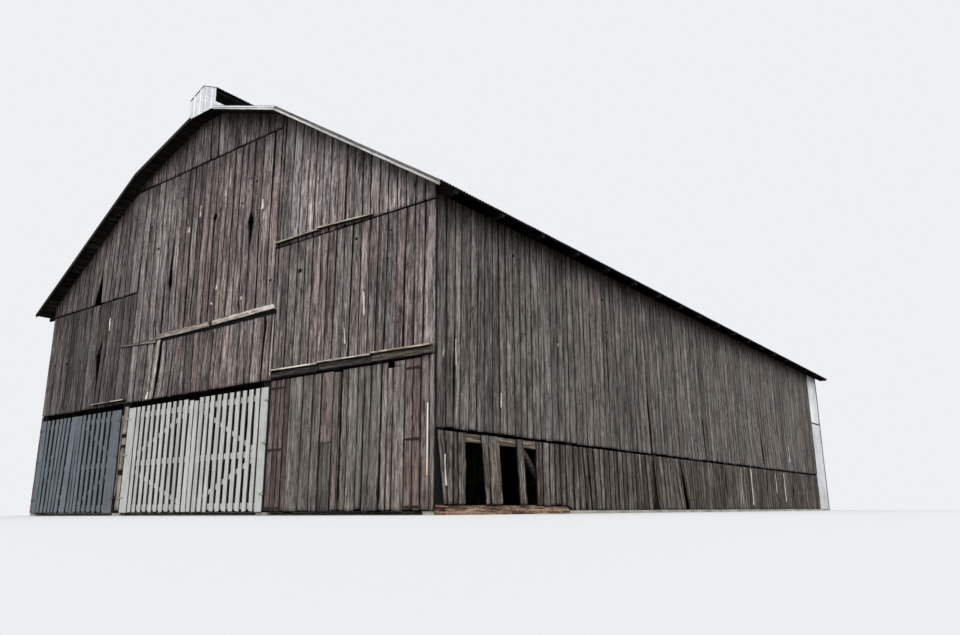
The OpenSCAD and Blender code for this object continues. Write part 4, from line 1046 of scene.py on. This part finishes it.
def post_patches(finish):
    """Offcuts nailed to the face of the post between the two pairs of gates."""
    pile = Pile(125)
    for x0, x1, z0, z1, tone in ((-2.44, -2.388, 0.34, 2.02, 0.9), (-2.375, -2.215, 1.4, 1.56, 0.95),
                                 (-2.372, -2.21, 0.9, 1.36, 0.4), (-2.378, -2.215, 1.63, 2.2, 0.5),
                                 (-2.372, -2.22, 0.1, 0.8, 0.45)):
        pile.board(FRONT, ((x0, z0), (x1, z0 + 0.01)), ((x0, z1), (x1, z1 - 0.01)), (CLEAR, 0.014),
                   rows=6, wander=0.003, tone=(tone, 0.4, 0.1))
    pile.make("post_patches", finish)


# Leaves


def slanted(pile, axes, start, end, width, depth, tone=None):
    """Adds a brace of a width from start to end."""
    origin, across, along, out = moved(axes, *start)
    reach = Vector((end[0] - start[0], end[1] - start[1]))
    run = reach.normalized()
    turned = (origin, across * run.y - along * run.x, across * run.x + along * run.y, out)
    pile.plank(turned, (-width / 2, width / 2), (0, reach.length), depth, rows=3, tone=tone)


def hash_name(name):
    """A fixed seed from a name."""
    return sum(ord(letter) * (place + 3) for place, letter in enumerate(name))


def strap_bolts(name, hinge_x, turn, heights, reaches, finish):
    """The domed heads of the bolts on the straps of one leaf."""
    pile = Pile(hash_name(name))
    rings = ((1.0, 0.0), (0.92, 0.0036), (0.55, 0.006), (0.0, 0.0069))
    for z in heights:
        for reach in reaches:
            dome(pile, facing(STRAP_Y), (hinge_x + turn * reach, z + 0.0225), (0.011, 0.011), 10, rings,
                 -CLEAR, (0.5, 0.5, 0.5))
    pile.make(name + "_strap_bolts", finish, body=name + "_leaf", smooth=True)


def slat_gate(name, finish, width, slats, stiles, rails, hinge_left):
    """One slatted leaf: slats and stiles in front, three rails and two braces behind.

    A slat is its centre and its foot's lean, then its width if it isn't the usual one, and how far
    its head lies below the leaf's.
    """
    pile = Pile(hash_name(name))
    low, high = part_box(name)
    front = facing(LEAF_Y)
    for slat in slats:
        centre, lean, wide, drop = slat + (width, 0.0)[len(slat) - 2:]
        foot = centre + lean
        pile.board(front, ((foot - wide / 2, low[2] + pile.dice.uniform(0, 0.02)),
                           (foot + wide / 2, low[2] + pile.dice.uniform(0, 0.02))),
                   ((centre - wide / 2, high[2] - drop), (centre + wide / 2, high[2] - drop)),
                   (0, 0.0235), rows=7, wander=0.0025, tone=pile.tone(0.2))
    for stile in stiles:
        pile.plank(front, stile, (low[2], high[2]), (0, 0.0238), wander=0.0008, tone=pile.tone(0.1))
    back = facing(RAIL_Y)
    start, end = rails
    for z in (0.1, 0.966, 1.93):
        pile.plank(lying(back), (z, z + 0.11), rails, (0, 0.0295), rows=6, wander=0.001,
                   twist=0.0006, tone=pile.tone(0.1, 0.3))
    hinge, free = (start + 0.06, end - 0.06) if hinge_left else (end - 0.06, start + 0.06)
    for z0, z1 in ((1.075, 1.985), (0.966, 0.155)):
        slanted(pile, back, (hinge, z0), (free, z1), 0.088, (0.002, 0.0285), pile.tone(0.1, 0.3))
    pile.make(name + "_boards", finish, [name], body=name + "_leaf")


def gates(white, blue, white_iron, blue_iron):
    """The four slatted leaves and the bolts on their straps."""
    slat_gate("white_gate_left", white, 0.115, (
        (-1.8, 0.0), (-1.63, 0.0), (-1.44, 0.0), (-1.262, 0.01), (-1.075, 0.01), (-0.885, 0.012),
        (-0.698, 0.014), (-0.506, 0.014), (-0.312, 0.014), (-0.125, 0.014, 0.128),
        (0.072, 0.0, 0.13, 0.03)), [(-2.1635, -1.9)], (-2.13, 0.135), True)
    slat_gate("white_gate_right", white, 0.115, (
        (0.222, 0.0, 0.132, 0.05), (0.392, 0.0, 0.126), (0.566, 0.0), (0.74, -0.014), (0.94, -0.014),
        (1.121, -0.012), (1.312, -0.01), (1.502, -0.01), (1.69, -0.01), (1.876, -0.006),
        (2.06, -0.004)), [(2.155, 2.35)], (0.1545, 2.13), False)
    slat_gate("blue_gate_left", blue, 0.122, (
        (-5.69, -0.03), (-5.483, -0.05, 0.12), (-5.27, -0.07), (-5.08, -0.1, 0.114),
        (-4.91, -0.12, 0.118), (-4.725, -0.13, 0.126), (-4.474, -0.1, 0.236), (-4.298, -0.022, 0.108)),
        [(-6.0105, -5.8)], (-5.855, -4.2425), True)
    slat_gate("blue_gate_right", blue, 0.124,
              [(c, -0.01) for c in (-4.022, -3.815, -3.606, -3.396, -3.187, -2.976)],
              [(-4.2305, -4.134), (-2.842, -2.4765)], (-4.2305, -2.49), False)
    for name, x, turn, finish in (
            ("white_gate_left", -2.1795, 1, white_iron), ("white_gate_right", 2.366, -1, white_iron),
            ("blue_gate_left", -6.0265, 1, blue_iron), ("blue_gate_right", -2.4605, -1, blue_iron)):
        strap_bolts(name, x, turn, (0.33, 1.18, 1.91), (0.045, 0.09), finish)


def plank_leaf(name, finish, boards, rails, hinge_left):
    """One plank door: upright boards on three ledges and two braces.

    A board is its left and right edges at the head, how far both lie to the left at the foot, its
    foot's height, its tone, and its head's height if it is lower than the leaf's.
    """
    pile = Pile(hash_name(name))
    for left, right, lean, foot, tone, *head in boards:
        top = head[0] if head else DOOR_HEAD
        pile.board(facing(LEAF_Y), ((left - lean, foot), (right - lean, foot + pile.dice.gauss(0, 0.003))),
                   ((left, top), (right, top)), (0, 0.0235), rows=8, wander=0.0015, tone=tone)
    back = facing(LEDGE_Y)
    start, end = rails
    for z in (0.08, 1.04, 2.0):
        pile.plank(lying(back), (z, z + 0.14), rails, (0, 0.0395), rows=4, wander=0.001, twist=0.0006)
    hinge, free = (start + 0.14, end - 0.14) if hinge_left else (end - 0.14, start + 0.14)
    centre = (start + end) / 2
    slanted(pile, back, (hinge, 0.16), (centre, 1.04), 0.138, (0.001, 0.038))
    slanted(pile, back, (centre, 1.18), (free, 2.06), 0.138, (0.001, 0.038))
    pile.make(name + "_boards", finish, [name], body=name + "_leaf")


def plank_doors(finish, rust):
    """The two plank doors, with the patch on the left leaf and the notch in the right one."""
    plank_leaf("plank_door_left", finish, (
        (2.411, 2.54, 0.0, 0.075, (0.4, 0.6, 0.2)), (2.55, 2.672, 0.003, 0.066, (0.22, 1.0, 0.0)),
        (2.684, 2.786, 0.004, 0.064, (0.34, 0.9, 0.0)), (2.798, 2.908, -0.012, 0.07, (0.1, 1.0, 0.0)),
        (2.922, 3.244, 0.006, 0.064, (0.58, 0.0, 0.9)), (3.258, 3.496, 0.008, 0.075, (0.5, 0.2, 0.5)),
        (3.51, 3.704, 0.012, 0.065, (0.42, 0.2, 0.7)), (3.72, 3.986, 0.0, 1.112, (0.56, 0.6, 0.1)),
        (3.722, 3.986, 0.012, 0.064, (0.14, 0.2, 1.0), 1.1),
        (3.996, 4.126, 0.0, 0.07, (0.46, 0.4, 0.3), 2.218),
        (4.134, 4.158, 0.0, 0.07, (0.72, 0.1, 0.1), 2.208)), (2.49, 4.16), True)
    plank_leaf("plank_door_right", finish, (
        (4.195, 4.32, -0.004, 0.075, (0.5, 0.3, 0.2)), (4.332, 4.538, 0.004, 0.066, (0.8, 0.0, 0.5)),
        (4.55, 4.674, 0.006, 0.09, (0.5, 0.0, 1.0)), (4.688, 4.82, -0.004, 0.066, (0.36, 0.0, 1.0)),
        (4.842, 5.046, 0.03, 0.066, (0.6, 0.0, 0.9)), (5.07, 5.178, 0.014, 0.07, (0.98, 0.15, 0.1)),
        (5.1795, 5.282, 0.0, 0.07, (0.98, 0.15, 0.1), 2.148),
        (5.294, 5.5215, 0.0, 0.066, (0.78, 0.1, 0.2), 2.148),
        (5.3105, 5.5215, 0.0, 2.1485, (0.78, 0.1, 0.2)), (5.533, 5.678, 0.0, 0.08, (0.5, 0.7, 0.0)),
        (5.688, 5.832, 0.0, 0.07, (0.42, 0.9, 0.0))), (4.172, 5.8145), False)
    strap_bolts("plank_door_left", 2.394, 1, (0.09, 1.04, 2.08), (0.06, 0.2, 0.34), rust)
    strap_bolts("plank_door_right", 5.8505, -1, (0.09, 1.04, 2.08), (0.06, 0.16, 0.26), rust)


# Ground pieces


def rotten_sill(finish):
    """The rotten timber under the front stretch of the right wall."""
    low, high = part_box("sill_timber")
    pile = Pile(131)
    axes = (Vector((low[0], low[1], 0)), X, Y, Z)
    length = high[1] - low[1]
    for width, start, end in ((high[0] - FRAME_X, 0.0, 0.2), (high[0] - low[0], 0.2, length)):
        shift = high[0] - low[0] - width
        rows = max(2, round((end - start) / 0.025))
        upper = []
        lower = []
        marks = []
        for r in range(rows + 1):
            v = start + (end - start) * r / rows
            wave = 0.018 * (1 - math.cos(v * 2.6)) + 0.012 * (1 - math.cos(v * 9.1 + 1))
            upper.append([])
            lower.append([])
            for c in range(11):
                s = c / 10
                edge = 0.045 * max(0.0, (s - 0.6) / 0.4) ** 2
                n = high[2] - 0.002 - wave * max(0.0, s - 0.35) - edge - abs(pile.dice.gauss(0, 0.012))
                inset = 0.0 if c < 10 else abs(pile.dice.gauss(0, 0.012))
                upper[-1].append((shift + width * s - inset, v, n))
                lower[-1].append((shift + width * s - inset * 0.3, v, 0.0))
            marks.append([(u, 1.0, 1.0, 1.0) for u, _, _ in upper[-1]])
        pile.slab(axes, upper, lower, (0.6, 0.4, 0.1), marks)
    pile.make("rotten_sill", finish, ["sill_timber"])


# Frame, stage, light and camera


def dress_frame(finishes):
    """Gives the nodes of the frame that stay their materials."""
    for names, finish in finishes:
        for name in names.split():
            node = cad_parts[name]
            node.data.materials.clear()
            node.data.materials.append(finish)


def pale_world():
    """Soft grey light, with a pale backdrop for the camera and in reflections."""
    shader = Shader("studio", bpy.data.worlds)
    bpy.context.scene.world = shader.owner
    nodes = shader.tree.nodes
    shader.feed(nodes["Background"], {"Color": (0.80, 0.83, 0.88, 1.0), "Strength": 1.0})
    backdrop = shader.add("Background", {"Color": (0.86, 0.87, 0.89, 1.0)})
    rays = shader.add("LightPath").outputs
    either = shader.maths("MAXIMUM", rays["Is Camera Ray"], rays["Is Glossy Ray"])
    mixer = shader.add("MixShader", {0: either, 1: nodes["Background"].outputs[0],
                                     2: backdrop.outputs[0]})
    shader.feed(nodes["World Output"], {"Surface": mixer.outputs[0]})


def pale_floor():
    """A plain pale floor, which throws less light up than it shows."""
    mesh = bpy.data.meshes.new("floor")
    reach = 160
    mesh.from_pydata([(-reach, -reach, 0), (reach, -reach, 0), (reach, reach, 0), (-reach, reach, 0)],
                     [], [(0, 1, 2, 3)])
    floor = put("floor", mesh)
    floor.location.z = -0.002
    shader = Shader("floor")
    rays = shader.add("LightPath").outputs["Is Camera Ray"]
    colour = shader.mix(rays, (0.12, 0.12, 0.11, 1.0), (0.60, 0.60, 0.595, 1.0))
    shader.feed(shader.surface, {"Base Color": colour, "Roughness": 0.95})
    mesh.materials.append(shader.owner)


def lights():
    """One broad soft lamp high on the front right."""
    lamp = bpy.data.lights.new("sky_lamp", "SUN")
    lamp.energy = 2.7
    lamp.angle = math.radians(70)
    toward = Vector((0.6, -0.72, 0.95))
    put("sky_lamp", lamp).rotation_euler = toward.to_track_quat("Z", "Y").to_euler()


def camera():
    """The photograph's camera, worked out from the barn's corners and edges."""
    data = bpy.data.cameras.new("camera")
    data.sensor_width = 36.0
    data.lens = 28.734
    data.clip_end = 500
    holder = put("camera", data)
    turn = Matrix.Rotation(0.6444, 4, "Z") @ Matrix.Rotation(math.pi / 2 + 0.2474, 4, "X")
    place = Matrix.Translation((13.1509, -19.2697, 0.05))
    holder.matrix_world = place @ turn @ Matrix.Rotation(-0.0060, 4, "Z")
    bpy.context.scene.camera = holder


def main():
    """Builds the whole scene."""
    bpy.context.scene.view_settings.view_transform = "Standard"
    camera()
    pale_world()
    pale_floor()
    lights()

    right = wood("right_wood", (50, 43, 41), (109, 99, 96), (174, 163, 159), flecks=0.03)
    gable = wood("gable_wood", (62, 55, 53), (133, 123, 120), (198, 190, 186), flecks=0.03,
                 painted_head_shade=0.25)
    middle = wood("middle_wood", (48, 41, 39), (106, 96, 93), (173, 163, 159), flecks=0.05, painted_head_shade=0.4)
    left = wood("left_wood", (38, 33, 31), (81, 74, 71), (130, 122, 118), flecks=0.03, painted_head_shade=0.3)
    left_high = wood("left_gable_wood", (42, 37, 35), (96, 89, 86), (150, 142, 138), flecks=0.03,
                     painted_head_shade=0.15)
    side = wood("side_wood", (50, 46, 43), (106, 100, 95), (160, 154, 148), flecks=0.02, painted_head_shade=0.5)
    base = wood("base_wood", (38, 33, 30), (86, 79, 73), (146, 137, 130), flecks=0.03)
    door = wood("door_wood", (54, 48, 45), (110, 102, 97), (164, 157, 152), flecks=0.02,
                warm=(1.1, 0.9, 0.87), cool=(0.96, 1.0, 0.97), reach=0.1)
    tan = wood("tan_wood", (132, 120, 106), (194, 183, 168), (232, 225, 212))
    pale_tan = wood("pale_wood", (92, 84, 76), (152, 143, 133), (206, 199, 190))
    torn = wood("torn_wood", (178, 162, 150), (228, 215, 204), (246, 238, 229))
    # The shelf's back boards are dark brown, partly as painted shade under its caps.
    brown = wood("brown_wood", (34, 29, 27), (70, 62, 57), (116, 106, 99))
    # The deck's near black is painted shade, on the roof's undersides and under the ventilator's sheets.
    deck = wood("deck_wood", (24, 23, 21), (46, 44, 41), (70, 67, 62))
    grey = wood("rake_wood", (140, 138, 132), (178, 177, 172), (208, 208, 205), cracks=0.005)
    # The left rake's wood is the rake's wood darkened as painted shade.
    shaded_rake = wood("dark_rake_wood", (30, 29, 26), (48, 46, 42), (70, 67, 62))
    sill = wood("sill_wood", (28, 20, 16), (90, 68, 54), (164, 136, 112), cracks=0.045, flecks=0.03,
                reach=0.06)
    # The frame's timbers are near black as painted shade of the barn's dark inside.
    upright = wood("post_wood", (5, 5, 5), (10, 9, 9), (18, 16, 15), axis="Z")
    lengthwise = wood("plate_wood", (10, 9, 8), (22, 20, 18), (38, 35, 32), axis="Y")
    crosswise = wood("beam_wood", (9, 8, 8), (19, 17, 16), (34, 31, 29), axis="X")
    girt = wood("girt_wood", (10, 9, 8), (22, 20, 18), (38, 35, 32), axis="Y", fresh=(18.0, 17.0, 14.0))
    patch = wood("patch_wood", (66, 58, 52), (124, 114, 106), (186, 178, 168))
    white = paint("white_paint", (202, 202, 196), (172, 172, 166), (122, 114, 104), 0.76)
    blue = paint("blue_paint", (110, 118, 124), (80, 88, 94), (146, 149, 148), 0.79)
    sheet = metal("galvanised_sheet", (196, 199, 202), (136, 140, 144), 0.68, 0.6, 0.35)
    pale = metal("pale_sheet", (238, 239, 240), (186, 188, 188), 0.74, 0.5, 0.2)
    bright = metal("bright_trim", (244, 245, 246), (222, 224, 226), 0.8, 0.5, 0.1)
    rust = iron("rusty_iron", (26, 21, 19), (44, 33, 28), (78, 52, 40))
    white_iron = iron("white_iron", (118, 116, 108), (166, 166, 158), (190, 190, 184))
    blue_iron = iron("blue_iron", (64, 70, 78), (94, 102, 110), (122, 128, 134))

    front_walls(right, left, middle)
    gable_boards(gable, left_high, middle)
    corner_boards(door)
    right_wall(side, base)
    plain_walls(side)
    metal_end(pale)
    chips(torn, upright)
    roof_sheets(sheet)
    roof_boards(deck)
    rake_trim(bright, grey, shaded_rake)
    ventilator(sheet, pale, bright, deck)
    shelf(tan, brown)
    nailed_boards(tan, pale_tan)
    painted_shadow_strips(upright)
    post_patches(patch)
    gates(white, blue, white_iron, blue_iron)
    plank_doors(door, rust)
    rotten_sill(sill)
    dress_frame((
        ("footing", concrete("concrete")),
        ("outer_posts inner_posts", upright),
        ("wall_plates roof_purlins ventilator_frame", lengthwise),
        ("tie_beams header_beams lower_rafters upper_rafters", crosswise),
        ("wall_girts", girt),
        ("corner_rod", rod_paint("rod_paint")),
        ("door_pintles plank_door_left_straps plank_door_right_straps", rust),
        ("white_gate_left_straps white_gate_right_straps", white_iron),
        ("blue_gate_left_straps blue_gate_right_straps", blue_iron),
    ))


main()
